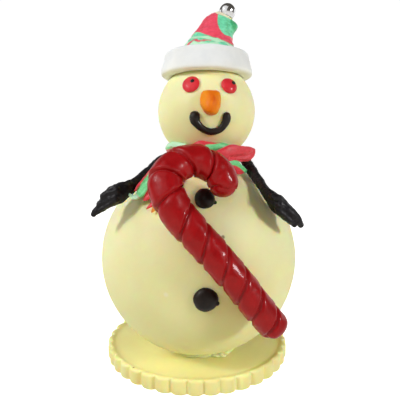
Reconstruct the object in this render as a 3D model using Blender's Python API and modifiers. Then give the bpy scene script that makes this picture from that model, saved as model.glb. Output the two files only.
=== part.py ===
"""A snowman confection: two white chocolate balls on a fluted disc, dressed in marbled paste.

Lengths are in metres, +Z is up and the front faces -Y. The origin is the centre of the disc's
underside. Sizes below are written in millimetres and scaled once, by MM.
"""

import math

import bmesh
import bpy
from mathutils import Matrix, Vector

MM = 0.001
GAP = 0.3 * MM

# Fluted disc, as turned out of a tart tin
DISC_RADIUS = 50.0 * MM
DISC_HEIGHT = 7.8 * MM
DISC_LIP_WIDTH = 3.6 * MM
DISC_LIP_HEIGHT = 1.2 * MM
DISC_EDGE = 0.5 * MM
FLUTES = 38
FLUTE_DEPTH = 1.9 * MM
FLUTE_POINTS = 3
FIRST_VALLEY = math.radians(-94.9)

# Body and head, cast in 100 mm and 49 mm ball moulds
BODY_CENTRE = Vector((0.9, -13.0, 57.4)) * MM
BODY_RADIUS = 50.0 * MM
BODY_FOOT_Z = 7.9 * MM
BODY_TOP_Z = 106.9 * MM
HEAD_CENTRE = Vector((4.9, -13.1, 131.2)) * MM
HEAD_RADIUS = 24.5 * MM
HEAD_FOOT_Z = 107.2 * MM

# Melted chocolate that joins the body to the disc
JOIN_RADIUS = 13.4 * MM
JOIN_LUMP_CENTRE = Vector((13.6, -23.2, 8.2)) * MM
JOIN_LUMP_SIZE = Vector((5.8, 3.0, 2.0)) * MM

# Hat band: (radius, height over the head's centre, backward tilt in degrees)
BAND_RINGS = (
    (18.4, 17.1, 3.0),
    (21.5, 16.9, 0.8),
    (22.9, 18.5, 0.4),
    (22.5, 21.0, 0.8),
    (21.4, 25.7, 2.2),
    (20.9, 27.6, 2.2),
    (19.0, 28.2, 2.0),
)

# Hat: (x, y, z, radius) along its leaning middle line
HAT_STATIONS = (
    (5.8, -12.8, 160.2, 12.7),
    (5.8, -12.5, 163.4, 12.3),
    (6.4, -12.1, 166.3, 10.8),
    (7.7, -11.6, 169.0, 9.9),
    (9.2, -11.0, 171.7, 8.9),
    (10.0, -10.4, 174.6, 7.6),
    (10.9, -9.8, 177.5, 6.5),
    (11.6, -9.3, 179.6, 4.8),
    (12.5, -9.0, 181.6, 1.8),
)
HAT_FOLD_CENTRE = Vector((17.0, -13.2, 173.4)) * MM
HAT_FOLD_SIZE = Vector((3.3, 4.8, 3.3)) * MM
PEARL_CENTRE = Vector((15.2, -12.5, 180.4)) * MM
PEARL_RADIUS = 4.0 * MM

# Face: directions from the head's centre
EYE_RADIUS = 3.9 * MM
EYE_HEIGHT = 1.7 * MM
LEFT_EYE_DIRECTION = Vector((-0.300, -0.850, 0.432))
RIGHT_EYE_DIRECTION = Vector((0.410, -0.815, 0.410))
PUPIL_RADIUS = 0.95 * MM
LEFT_PUPIL_DIRECTION = Vector((-0.262, -0.848, 0.470))
RIGHT_PUPIL_DIRECTION = Vector((0.474, -0.762, 0.440))
NOSE_STATIONS = (
    (6.2, -36.6, 133.2, 4.7, 5.4),
    (6.2, -39.2, 133.1, 4.7, 5.4),
    (6.2, -41.4, 132.5, 4.0, 4.6),
    (6.0, -43.4, 131.3, 2.4, 2.8),
    (5.9, -44.6, 130.5, 0.7, 0.8),
)
MOUTH_PATH = ((-0.75, 127.5), (-0.85, 126.6), (-0.5, 125.1), (1.3, 122.9), (3.6, 121.2), (6.6, 120.4),
              (9.6, 120.9), (11.9, 122.5), (13.3, 124.7), (13.8, 126.4), (13.8, 127.5))
MOUTH_RADII = (2.25, 2.4, 2.15, 1.75, 1.6, 1.5, 1.55, 1.65, 1.85, 1.95, 1.75)
MOUTH_LIFT = 0.5 * MM

# Buttons: directions from the body's centre
UPPER_BUTTON_DIRECTION = Vector((0.054, -0.745, 0.676))
LOWER_BUTTON_DIRECTION = Vector((0.062, -0.988, -0.132))
UPPER_BUTTON_SIZE = Vector((4.5, 5.0, 4.2)) * MM
LOWER_BUTTON_SIZE = Vector((5.3, 5.3, 3.0)) * MM

# Candy cane: (x, y, z, radius) along its middle line, from the hook's short end
CANE_STATIONS = (
    (11.3, -57.2, 94.2, 4.6),
    (11.2, -57.0, 98.0, 6.4),
    (8.9, -56.2, 102.8, 6.8),
    (5.7, -56.0, 105.3, 6.9),
    (1.0, -56.3, 107.4, 7.05),
    (-3.8, -58.0, 107.2, 7.1),
    (-8.9, -60.5, 104.7, 7.25),
    (-11.6, -63.5, 100.7, 7.4),
    (-11.8, -65.8, 97.0, 7.35),
    (-8.4, -67.6, 89.6, 7.25),
    (-2.5, -68.4, 81.9, 7.05),
    (5.4, -68.6, 73.2, 6.95),
    (14.5, -68.5, 62.6, 6.85),
    (23.0, -67.3, 51.6, 6.7),
    (31.2, -65.1, 41.0, 6.5),
)
CANE_TURN_LENGTH = 20.4 * MM
CANE_STRANDS = 2
CANE_GROOVE = 0.16

# Arms and their fingers: (x, y, z, half width, half depth). The flat side of each faces the front
FAR_BEHIND = Vector((0.0, 3.0, 0.09))
LEFT_ARM = (
    (-16.6, -24.0, 108.2, 2.0, 2.4),
    (-21.8, -30.5, 102.4, 2.5, 2.8),
    (-27.3, -37.4, 97.2, 2.9, 3.2),
    (-30.0, -40.6, 95.4, 3.2, 3.4),
    (-32.9, -43.4, 93.8, 4.1, 4.8),
    (-36.1, -44.4, 92.2, 4.5, 5.0),
    (-38.8, -44.3, 90.4, 3.9, 4.2),
)
LEFT_FINGERS = (
    ((-34.3, -47.0, 94.4, 2.2, 3.2), (-37.8, -46.5, 93.3, 2.2, 2.9), (-40.7, -46.5, 91.8, 1.6, 2.1)),
    ((-35.6, -47.0, 91.9, 2.2, 3.4), (-39.5, -46.5, 90.1, 2.2, 3.0), (-42.5, -46.5, 88.4, 1.5, 2.1)),
    ((-35.3, -47.0, 90.7, 2.1, 3.3), (-39.9, -46.5, 88.1, 2.1, 2.9), (-43.3, -46.5, 85.9, 1.8, 2.3),
     (-45.4, -46.5, 83.9, 1.2, 1.5)),
)
RIGHT_ARM = (
    (24.3, -17.8, 106.9, 2.3, 2.4),
    (25.5, -23.3, 104.4, 2.7, 2.6),
    (27.3, -30.2, 100.7, 2.5, 2.8),
    (29.4, -35.8, 96.9, 2.3, 3.0),
    (31.4, -40.8, 93.4, 2.2, 3.6),
    (34.0, -44.6, 90.3, 3.3, 5.2),
    (37.0, -45.2, 87.2, 3.8, 5.4),
    (40.2, -44.8, 84.4, 3.5, 4.4),
)
RIGHT_FINGERS = (
    ((32.6, -49.5, 92.0, 1.4, 2.7), (35.5, -49.0, 91.1, 1.9, 2.9), (38.1, -48.5, 89.1, 1.8, 2.3)),
    ((36.2, -49.5, 88.4, 2.3, 3.3), (40.7, -49.0, 85.1, 2.3, 3.1), (44.3, -48.0, 81.6, 2.1, 2.3),
     (46.0, -47.5, 79.3, 1.3, 1.5)),
    ((35.8, -49.5, 86.4, 2.0, 3.1), (39.4, -49.0, 83.1, 2.0, 2.7), (43.1, -48.0, 79.6, 1.1, 1.7)),
)

# Neck band: its section as (radius, height), and the height of its top edge round the head in degrees
WRAP_SECTION = ((18.6, 114.9), (20.0, 114.7), (20.9, 113.4), (20.6, 111.6), (18.8, 109.9), (16.6, 107.8),
                (14.6, 106.1), (12.6, 107.1), (13.2, 109.2), (15.4, 111.8))
WRAP_SECTION_FLOOR = 107.5
WRAP_TOP = ((0, 113.4), (45, 114.4), (90, 115.0), (135, 114.8), (180, 114.9), (215, 116.3), (240, 114.9),
            (262, 116.6), (284, 115.6), (305, 114.6), (330, 113.3), (360, 113.4))
WRAP_TURNS = 24

# Left end: a broad band, the part hidden by the cane and two fringe fingers, as (x, y, z, half width, half depth)
LEFT_END_STRANDS = (
    ((-13.0, -38.6, 105.2, 4.6, 1.3), (-18.6, -41.0, 101.6, 4.7, 1.3), (-22.1, -43.8, 97.3, 4.5, 1.2),
     (-24.5, -45.4, 94.2, 3.0, 1.0), (-26.6, -46.6, 92.4, 1.6, 0.8), (-28.9, -46.8, 92.2, 0.8, 0.6)),
    ((-12.0, -39.5, 104.0, 4.0, 1.5), (-12.0, -43.6, 98.8, 3.8, 1.5), (-12.0, -47.8, 94.0, 3.4, 1.4)),
    ((-13.5, -43.6, 98.8, 2.4, 1.2), (-18.6, -46.0, 94.8, 2.2, 1.2), (-22.0, -46.8, 91.0, 1.3, 0.9)),
    ((-12.0, -48.0, 93.6, 2.6, 1.2), (-16.5, -50.0, 90.2, 2.2, 1.1), (-19.4, -50.4, 87.4, 1.1, 0.8)),
)

# Right ends, each between two edges: upper edge point, lower edge point and half the thickness
FLAP_ROWS = (
    (3.9, -38.6, 109.4, 3.9, -38.6, 106.3, 1.4),
    (7.6, -39.3, 110.9, 8.4, -38.6, 106.6, 1.8),
    (11.4, -38.9, 112.9, 12.4, -38.0, 106.6, 1.8),
    (15.6, -36.9, 114.5, 16.2, -35.7, 106.8, 1.8),
    (20.9, -32.9, 114.1, 20.4, -31.9, 106.6, 1.9),
    (25.6, -28.8, 113.2, 24.6, -28.4, 106.6, 2.0),
    (28.0, -26.4, 112.2, 27.2, -26.2, 109.0, 1.2),
)
KNOT_CENTRE = Vector((1.0, -42.5, 106.2)) * MM
KNOT_SIZE = Vector((9.0, 6.2, 4.0)) * MM
RIGHT_END_ROWS = (
    (11.0, -37.2, 106.2, 11.0, -37.0, 102.6, 1.0),
    (15.2, -36.4, 106.2, 15.6, -36.0, 102.4, 1.1),
    (18.6, -34.4, 106.0, 18.2, -34.0, 101.0, 1.1),
    (21.4, -31.4, 105.0, 20.4, -31.6, 100.6, 1.0),
    (23.9, -28.9, 102.8, 23.2, -29.0, 101.5, 0.6),
)

BALL_SIDES = 32
HEAD_SIDES = 26
BAND_SIDES = 24
HAT_SIDES = 16
CANE_SIDES = 12
CANE_STEPS = 2

WHITE_CHOCOLATE = (0.80, 0.74, 0.46, 1.0)
DARK_CHOCOLATE = (0.020, 0.012, 0.010, 1.0)
RED_PASTE = (0.50, 0.015, 0.020, 1.0)
GREEN_PASTE = (0.22, 0.62, 0.30, 1.0)
WHITE_PASTE = (0.86, 0.86, 0.82, 1.0)
ORANGE_PASTE = (0.85, 0.24, 0.02, 1.0)
SILVER = (0.80, 0.80, 0.80, 1.0)


def clear_scene():
    """Removes the objects that a new Blender file starts with."""
    for old in list(bpy.data.objects):
        bpy.data.objects.remove(old)


def new_collection(name):
    """A collection linked to the scene."""
    collection = bpy.data.collections.new(name)
    bpy.context.scene.collection.children.link(collection)
    return collection


def finish_mesh(bm, name):
    """Turns a bmesh into a smooth-shaded mesh with its faces pointing out."""
    bmesh.ops.recalc_face_normals(bm, faces=bm.faces)
    mesh = bpy.data.meshes.new(name)
    bm.to_mesh(mesh)
    bm.free()
    mesh.shade_smooth()
    mesh.set_sharp_from_angle(angle=math.radians(50))
    return mesh


def add_part(name, mesh, finish):
    """Links a mesh as one named part with its own material."""
    color, roughness, metallic = finish
    material = bpy.data.materials.new(name)
    material.use_nodes = True
    shader = material.node_tree.nodes["Principled BSDF"]
    shader.inputs["Base Color"].default_value = color
    shader.inputs["Roughness"].default_value = roughness
    shader.inputs["Metallic"].default_value = metallic
    mesh.materials.clear()
    mesh.materials.append(material)
    part = bpy.data.objects.new(name, mesh)
    parts.objects.link(part)
    return part


def add_cutter(name, mesh):
    """Links a mesh that only shapes other parts."""
    cutter = bpy.data.objects.new(name, mesh)
    cutter.hide_render = True
    cutter.display_type = "WIRE"
    cutters.objects.link(cutter)
    return cutter


def combine(part, operation, tools):
    """Adds one exact Boolean for each tool object."""
    for tool in tools:
        boolean = part.modifiers.new(tool.name, "BOOLEAN")
        boolean.operation = operation
        boolean.object = tool
        boolean.solver = "EXACT"
    return part


def ellipsoid_mesh(name, centre, size, rotation=None, sides=20):
    """A ball primitive stretched to the given half sizes."""
    bm = bmesh.new()
    bmesh.ops.create_uvsphere(bm, u_segments=sides, v_segments=sides // 2 + 2, radius=1.0)
    turn = rotation.to_matrix().to_4x4() if rotation else Matrix.Identity(4)
    shape = Matrix.Translation(centre) @ turn @ Matrix.Diagonal((*size, 1.0))
    bmesh.ops.transform(bm, matrix=shape, verts=bm.verts)
    return finish_mesh(bm, name)


def cut_ball_mesh(name, centre, radius, sides, foot_z, top_z):
    """A ball primitive with a flat cut below and, where top_z is given, above."""
    bm = bmesh.new()
    bmesh.ops.create_uvsphere(bm, u_segments=sides, v_segments=sides // 2 + 2, radius=radius)
    bmesh.ops.translate(bm, vec=centre, verts=bm.verts)
    planes = [(foot_z, -1.0)]
    if top_z is not None:
        planes.append((top_z, 1.0))
    for height, direction in planes:
        cut = bmesh.ops.bisect_plane(
            bm,
            geom=bm.verts[:] + bm.edges[:] + bm.faces[:],
            plane_co=(0.0, 0.0, height),
            plane_no=(0.0, 0.0, direction),
            clear_outer=True,
        )
        rim = [item for item in cut["geom_cut"] if isinstance(item, bmesh.types.BMEdge)]
        bmesh.ops.edgeloop_fill(bm, edges=rim)
    return finish_mesh(bm, name)


def loft_mesh(name, rings):
    """A closed skin over rings of points that all have the same count."""
    bm = bmesh.new()
    loops = [[bm.verts.new(point) for point in ring] for ring in rings]
    for low, high in zip(loops, loops[1:]):
        for index in range(len(low)):
            after = (index + 1) % len(low)
            bm.faces.new((low[index], low[after], high[after], high[index]))
    bm.faces.new(loops[0])
    bm.faces.new(loops[-1])
    return finish_mesh(bm, name)


def smooth_rows(rows, steps):
    """Catmull-Rom points through rows of numbers, with the given steps between two rows."""
    ends = [rows[0]] + list(rows) + [rows[-1]]
    smoothed = []
    for index in range(1, len(rows)):
        before, start, end, after = (Vector(row) for row in ends[index - 1:index + 3])
        for step in range(steps):
            t = step / steps
            curve = 2 * start + (end - before) * t
            curve += (2 * before - 5 * start + 4 * end - after) * t ** 2
            curve += (3 * start - before - 3 * end + after) * t ** 3
            smoothed.append(curve / 2)
    smoothed.append(Vector(rows[-1]))
    return smoothed


def swept_mesh(name, stations, middle, sides, steps):
    """An oval swept along stations, its flat face turned away from the middle point.

    A station is x, y, z, half width and half depth in millimetres.
    """
    centres = [Vector(row[:3]) * MM for row in smooth_rows([s[:3] for s in stations], steps)]
    halves = smooth_rows([(s[3], s[4], 0.0) for s in stations], steps)
    rings = []
    last = len(centres) - 1
    for index, centre in enumerate(centres):
        along = (centres[min(index + 1, last)] - centres[max(index - 1, 0)]).normalized()
        outward = centre - middle
        outward = (outward - along * outward.dot(along)).normalized()
        across = along.cross(outward)
        width, depth = halves[index][0] * MM, halves[index][1] * MM
        turns = [2 * math.pi * side / sides for side in range(sides)]
        rings.append([
            centre + across * width * math.cos(turn) + outward * depth * math.sin(turn)
            for turn in turns
        ])
    return loft_mesh(name, rings)


def fluted_outline(name, inset, half_height, middle_z):
    """A flat fluted outline, extruded: each flute bulges between two narrow valleys."""
    outline = bpy.data.curves.new(name, "CURVE")
    outline.dimensions = "2D"
    outline.fill_mode = "BOTH"
    outline.extrude = half_height
    spline = outline.splines.new("POLY")
    count = FLUTES * FLUTE_POINTS
    spline.points.add(count - 1)
    for index in range(count):
        across = 2 * (index % FLUTE_POINTS) / FLUTE_POINTS - 1
        radius = DISC_RADIUS - inset - FLUTE_DEPTH * across ** 2
        angle = FIRST_VALLEY + 2 * math.pi * index / count
        spline.points[index].co = (radius * math.cos(angle), radius * math.sin(angle), 0.0, 1.0)
    spline.use_cyclic_u = True
    guide = bpy.data.objects.new(name, outline)
    guide.location.z = middle_z
    parts.objects.link(guide)
    bpy.context.view_layer.update()
    evaluated = guide.evaluated_get(bpy.context.evaluated_depsgraph_get())
    mesh = bpy.data.meshes.new_from_object(evaluated)
    bm = bmesh.new()
    bm.from_mesh(mesh)
    bmesh.ops.remove_doubles(bm, verts=bm.verts, dist=0.01 * MM)
    bmesh.ops.transform(bm, matrix=guide.matrix_world, verts=bm.verts)
    bpy.data.objects.remove(guide)
    return finish_mesh(bm, name)


def build_disc():
    """The fluted disc with its thin raised lip."""
    half = DISC_HEIGHT / 2
    disc = add_part("base_disc", fluted_outline("base_disc", 0.0, half, half), CHOCOLATE_FINISH)
    recess = fluted_outline("recess", DISC_LIP_WIDTH, DISC_LIP_HEIGHT, DISC_HEIGHT)
    combine(disc, "DIFFERENCE", [add_cutter("disc_recess", recess)])
    edge = disc.modifiers.new("rounded edge", "BEVEL")
    edge.width = DISC_EDGE
    edge.segments = 1
    edge.limit_method = "ANGLE"
    edge.angle_limit = math.radians(80)


def build_join():
    """A thin pad of melted chocolate with a fillet round the body's foot and one lump."""
    floor_z = DISC_HEIGHT - DISC_LIP_HEIGHT + GAP
    grown = BODY_RADIUS + GAP
    flat_radius = math.sqrt(grown ** 2 - (BODY_CENTRE.z - BODY_FOOT_Z + GAP) ** 2)
    rim_radius = JOIN_RADIUS - 1.6 * MM
    rim_z = BODY_CENTRE.z - math.sqrt(grown ** 2 - rim_radius ** 2)
    profile = (
        (0.0, BODY_FOOT_Z - GAP),
        (flat_radius, BODY_FOOT_Z - GAP),
        (rim_radius, rim_z),
        (JOIN_RADIUS - 0.4 * MM, rim_z - 0.8 * MM),
        (JOIN_RADIUS, floor_z),
        (0.0, floor_z),
    )
    mesh = bpy.data.meshes.new("joining_chocolate")
    mesh.from_pydata([(x, 0.0, z) for x, z in profile], [(i, i + 1) for i in range(5)], [])
    join = add_part("joining_chocolate", mesh, CHOCOLATE_FINISH)
    join.location = (BODY_CENTRE.x, BODY_CENTRE.y, 0.0)
    turned = join.modifiers.new("turned", "SCREW")
    turned.steps = 24
    turned.render_steps = 24
    turned.use_merge_vertices = True
    turned.merge_threshold = 0.01 * MM
    lump_mesh = ellipsoid_mesh("lump", JOIN_LUMP_CENTRE, JOIN_LUMP_SIZE, sides=14)
    bm = bmesh.new()
    bm.from_mesh(lump_mesh)
    cut = bmesh.ops.bisect_plane(
        bm,
        geom=bm.verts[:] + bm.edges[:] + bm.faces[:],
        plane_co=(0.0, 0.0, floor_z),
        plane_no=(0.0, 0.0, -1.0),
        clear_outer=True,
    )
    rim = [item for item in cut["geom_cut"] if isinstance(item, bmesh.types.BMEdge)]
    bmesh.ops.edgeloop_fill(bm, edges=rim)
    lump = add_cutter("join_lump", finish_mesh(bm, "lump"))
    combine(lump, "DIFFERENCE", [body_cutter])
    combine(join, "UNION", [lump])


def build_balls():
    """The body and the head, with the flats where they meet their neighbours."""
    body = cut_ball_mesh("body_ball", BODY_CENTRE, BODY_RADIUS, BALL_SIDES, BODY_FOOT_Z, BODY_TOP_Z)
    add_part("body_ball", body, CHOCOLATE_FINISH)
    head = cut_ball_mesh("head_ball", HEAD_CENTRE, HEAD_RADIUS, HEAD_SIDES, HEAD_FOOT_Z, None)
    add_part("head_ball", head, CHOCOLATE_FINISH)


def build_hat():
    """The white band, the leaning marbled hat and its silver pearl."""
    rings = []
    for radius, height, tilt_degrees in BAND_RINGS:
        tilt = math.radians(tilt_degrees)
        axis = Vector((0.0, math.sin(tilt), math.cos(tilt)))
        back = Vector((0.0, math.cos(tilt), -math.sin(tilt)))
        middle = HEAD_CENTRE + axis * height * MM
        turns = [2 * math.pi * side / BAND_SIDES for side in range(BAND_SIDES)]
        rings.append([
            middle + Vector((math.cos(turn), 0.0, 0.0)) * radius * MM + back * math.sin(turn) * radius * MM
            for turn in turns
        ])
    band = add_part("hat_band", loft_mesh("hat_band", rings), (WHITE_PASTE, 0.7, 0.0))
    combine(band, "DIFFERENCE", [head_cutter])
    turns = [2 * math.pi * side / HAT_SIDES for side in range(HAT_SIDES)]
    rings = [
        [Vector((x + r * math.cos(turn), y + r * math.sin(turn), z)) * MM for turn in turns]
        for x, y, z, r in HAT_STATIONS
    ]
    hat = add_part("hat", loft_mesh("hat", rings), (GREEN_PASTE, 0.4, 0.0))
    fold = ellipsoid_mesh("fold", HAT_FOLD_CENTRE, HAT_FOLD_SIZE, sides=12)
    combine(hat, "UNION", [add_cutter("hat_fold", fold)])
    seat = ellipsoid_mesh("seat", PEARL_CENTRE, [PEARL_RADIUS + GAP] * 3, sides=16)
    combine(hat, "DIFFERENCE", [add_cutter("pearl_seat", seat)])
    pearl = ellipsoid_mesh("silver_pearl", PEARL_CENTRE, [PEARL_RADIUS] * 3, sides=12)
    add_part("silver_pearl", pearl, (SILVER, 0.12, 1.0))


def dome(name, direction, centre, radius, size, finish, cutter_list, sides=12):
    """A domed drop whose flat side lies on a ball."""
    aim = direction.normalized()
    turn = aim.to_track_quat("Z", "Y")
    mesh = ellipsoid_mesh(name, centre + aim * (radius + 0.2 * MM), size, turn, sides)
    part = add_part(name, mesh, finish)
    combine(part, "DIFFERENCE", cutter_list)
    return part


def build_eye(side, direction, pupil_direction):
    """One red sugar eye with its dark pupil."""
    size = (EYE_RADIUS, EYE_RADIUS, EYE_HEIGHT)
    dome("eye_" + side, direction, HEAD_CENTRE, HEAD_RADIUS, size, (RED_PASTE, 0.2, 0.0), [head_cutter])
    aim = direction.normalized()
    turn = aim.to_track_quat("Z", "Y")
    grown = [value + GAP for value in size]
    seat = ellipsoid_mesh("seat", HEAD_CENTRE + aim * (HEAD_RADIUS + 0.2 * MM), grown, turn, 16)
    seat_cutter = add_cutter("pupil_seat_" + side, seat)
    pupil_size = (PUPIL_RADIUS, PUPIL_RADIUS, PUPIL_RADIUS)
    distance = HEAD_RADIUS + EYE_HEIGHT * 0.78
    dome("pupil_" + side, pupil_direction, HEAD_CENTRE, distance, pupil_size,
         (DARK_CHOCOLATE, 0.3, 0.0), [seat_cutter], 8)


def build_face():
    """Eyes, nose and mouth."""
    build_eye("left", LEFT_EYE_DIRECTION, LEFT_PUPIL_DIRECTION)
    build_eye("right", RIGHT_EYE_DIRECTION, RIGHT_PUPIL_DIRECTION)
    above = Vector((6.2, -38.0, -300.0)) * MM
    nose = swept_mesh("nose", NOSE_STATIONS, above, 12, 1)
    combine(add_part("nose", nose, (ORANGE_PASTE, 0.4, 0.0)), "DIFFERENCE", [head_cutter])
    rows = []
    for (x, z), radius in zip(MOUTH_PATH, MOUTH_RADII):
        reach = HEAD_RADIUS + MOUTH_LIFT
        side = Vector((x * MM - HEAD_CENTRE.x, z * MM - HEAD_CENTRE.z))
        depth = math.sqrt(reach ** 2 - side.length_squared)
        rows.append((x, (HEAD_CENTRE.y - depth) / MM, z, radius, radius))
    mouth = swept_mesh("mouth", rounded_ends(rows), HEAD_CENTRE, 8, 1)
    combine(add_part("mouth", mouth, DARK_FINISH), "DIFFERENCE", [head_cutter])


def rounded_ends(rows):
    """Adds two short stations past each end, so a piped line ends in a dome."""
    out = list(rows)
    for at, neighbour in ((0, 1), (-1, -2)):
        end, inner = Vector(rows[at][:3]), Vector(rows[neighbour][:3])
        away = (end - inner).normalized()
        width, depth = rows[at][3:]
        extra = []
        for along, share in ((0.60, 0.80), (0.95, 0.33)):
            point = end + away * width * along
            extra.append((point.x, point.y, point.z, width * share, depth * share))
        out = (extra[::-1] + out) if at == 0 else (out + extra)
    return out


def build_buttons():
    """Two piped chocolate drops on the body."""
    for name, direction, size in (
        ("button_upper", UPPER_BUTTON_DIRECTION, UPPER_BUTTON_SIZE),
        ("button_lower", LOWER_BUTTON_DIRECTION, LOWER_BUTTON_SIZE),
    ):
        dome(name, direction, BODY_CENTRE, BODY_RADIUS, size, DARK_FINISH, [body_cutter])


def build_cane():
    """The twisted cane: strands that bulge between helical grooves."""
    centres = [row * MM for row in smooth_rows([s[:3] for s in CANE_STATIONS], CANE_STEPS)]
    radii = [row.x * MM for row in smooth_rows([(s[3], 0.0, 0.0) for s in CANE_STATIONS], CANE_STEPS)]
    rings = []
    run = 0.0
    last = len(centres) - 1
    for index, centre in enumerate(centres):
        along = (centres[min(index + 1, last)] - centres[max(index - 1, 0)]).normalized()
        outward = Vector((0.0, -1.0, 0.0))
        outward = (outward - along * outward.dot(along)).normalized()
        across = along.cross(outward)
        run += (centre - centres[max(index - 1, 0)]).length
        twist = 2 * math.pi * run / CANE_TURN_LENGTH
        ring = []
        for side in range(CANE_SIDES):
            turn = 2 * math.pi * side / CANE_SIDES
            bulge = abs(math.sin(CANE_STRANDS * (turn - twist) / 2))
            radius = radii[index] * (1 - CANE_GROOVE * (1 - bulge))
            ring.append(centre + (across * math.cos(turn) + outward * math.sin(turn)) * radius)
        rings.append(ring)
    for at, neighbour in ((0, 1), (-1, -2)):
        middle = sum(rings[at], Vector()) / CANE_SIDES
        away = (middle - sum(rings[neighbour], Vector()) / CANE_SIDES).normalized()
        cap = [middle + (point - middle) * 0.6 + away * radii[at] * 0.35 for point in rings[at]]
        rings = ([cap] + rings) if at == 0 else (rings + [cap])
    add_part("candy_cane", loft_mesh("candy_cane", rings), (RED_PASTE, 0.25, 0.0))


def build_arms():
    """Two cast chocolate arms with mitten hands, laid against the body."""
    for name, stations, fingers in (
        ("arm_left", LEFT_ARM, LEFT_FINGERS),
        ("arm_right", RIGHT_ARM, RIGHT_FINGERS),
    ):
        arm = add_part(name, swept_mesh(name, rounded_ends(stations), FAR_BEHIND, 8, 1), DARK_FINISH)
        for number, finger in enumerate(fingers):
            label = name + "_finger_" + str(number)
            mesh = swept_mesh(label, rounded_ends(finger), FAR_BEHIND, 6, 1)
            combine(arm, "UNION", [add_cutter(label, mesh)])
        combine(arm, "DIFFERENCE", [body_cutter])


def ribbon_mesh(name, rows, sides, steps):
    """A rounded band between two edges."""
    firsts = [Vector(row) * MM for row in smooth_rows([row[:3] for row in rows], steps)]
    seconds = [Vector(row) * MM for row in smooth_rows([row[3:6] for row in rows], steps)]
    depths = [row.x * MM for row in smooth_rows([(row[6], 0.0, 0.0) for row in rows], steps)]
    centres = [(first + second) / 2 for first, second in zip(firsts, seconds)]
    last = len(centres) - 1
    rings = []
    for index, centre in enumerate(centres):
        half = (firsts[index] - seconds[index]) / 2
        along = centres[min(index + 1, last)] - centres[max(index - 1, 0)]
        outward = along.cross(half).normalized()
        ring = []
        for side in range(sides):
            turn = 2 * math.pi * (side + 0.5) / sides
            across = half * squared(math.cos(turn))
            ring.append(centre + across + outward * depths[index] * squared(math.sin(turn)))
        rings.append(ring)
    return loft_mesh(name, rings)


def squared(value):
    """Pushes a sine or cosine outwards, so that a circle becomes squarish."""
    return math.copysign(abs(value) ** 0.67, value)


def wrap_mesh():
    """The neck band: its section carried round the head, with a rising and falling top edge."""
    bm = bmesh.new()
    section_top = WRAP_SECTION[0][1]
    loops = []
    for index in range(WRAP_TURNS):
        degrees = 360 * index / WRAP_TURNS
        after = next(number for number, stop in enumerate(WRAP_TOP) if stop[0] > degrees)
        (low, low_top), (high, high_top) = WRAP_TOP[after - 1], WRAP_TOP[after]
        lift = low_top + (high_top - low_top) * (degrees - low) / (high - low) - section_top
        turn = math.radians(degrees)
        loop = []
        for radius, height in WRAP_SECTION:
            share = min(1.0, max(0.0, (height - WRAP_SECTION_FLOOR) / (section_top - WRAP_SECTION_FLOOR)))
            place = Vector((radius * math.cos(turn), radius * math.sin(turn), height + lift * share)) * MM
            loop.append(bm.verts.new(place + Vector((HEAD_CENTRE.x, HEAD_CENTRE.y, 0.0))))
        loops.append(loop)
    for index, loop in enumerate(loops):
        following = loops[(index + 1) % WRAP_TURNS]
        for corner in range(len(loop)):
            after = (corner + 1) % len(loop)
            bm.faces.new((loop[corner], loop[after], following[after], following[corner]))
    return finish_mesh(bm, "scarf_wrap")


def build_scarf():
    """The band round the neck and its loose ends."""
    wrap = add_part("scarf_wrap", wrap_mesh(), (RED_PASTE, 0.4, 0.0))
    combine(wrap, "DIFFERENCE", [head_cutter, body_cutter])
    meshes = [
        swept_mesh("scarf_tail_left", rounded_ends(strand), BODY_CENTRE, 8, 1)
        for strand in LEFT_END_STRANDS
    ]
    left = add_part("scarf_tail_left", meshes[0], (GREEN_PASTE, 0.4, 0.0))
    for number, mesh in enumerate(meshes[1:]):
        combine(left, "UNION", [add_cutter("fringe_" + str(number), mesh)])
    combine(left, "DIFFERENCE", [body_cutter])
    flap = add_part("scarf_flap", ribbon_mesh("scarf_flap", FLAP_ROWS, 10, 1), (RED_PASTE, 0.4, 0.0))
    knot = ellipsoid_mesh("knot", KNOT_CENTRE, KNOT_SIZE, sides=12)
    combine(flap, "UNION", [add_cutter("knot", knot)])
    combine(flap, "DIFFERENCE", [body_cutter])
    right = ribbon_mesh("scarf_tail_right", RIGHT_END_ROWS, 8, 1)
    combine(add_part("scarf_tail_right", right, (GREEN_PASTE, 0.4, 0.0)), "DIFFERENCE", [body_cutter])


clear_scene()
parts = new_collection("snowman")
cutters = new_collection("cutters")
CHOCOLATE_FINISH = (WHITE_CHOCOLATE, 0.45, 0.0)
DARK_FINISH = (DARK_CHOCOLATE, 0.3, 0.0)
head_cutter = add_cutter(
    "head_space",
    ellipsoid_mesh("head_space", HEAD_CENTRE, [HEAD_RADIUS + GAP] * 3, sides=HEAD_SIDES),
)
body_cutter = add_cutter(
    "body_space",
    ellipsoid_mesh("body_space", BODY_CENTRE, [BODY_RADIUS + GAP] * 3, sides=BALL_SIDES),
)
build_disc()
build_join()
build_balls()
build_hat()
build_face()
build_buttons()
build_cane()
build_arms()
build_scarf()
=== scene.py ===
"""Looks of the snowman confection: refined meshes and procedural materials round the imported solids.

Shapes are written in millimetres in the frame's own axes and scaled once, by MM.
"""

import math

import bmesh
import bpy
import numpy as np
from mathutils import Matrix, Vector, noise


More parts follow.
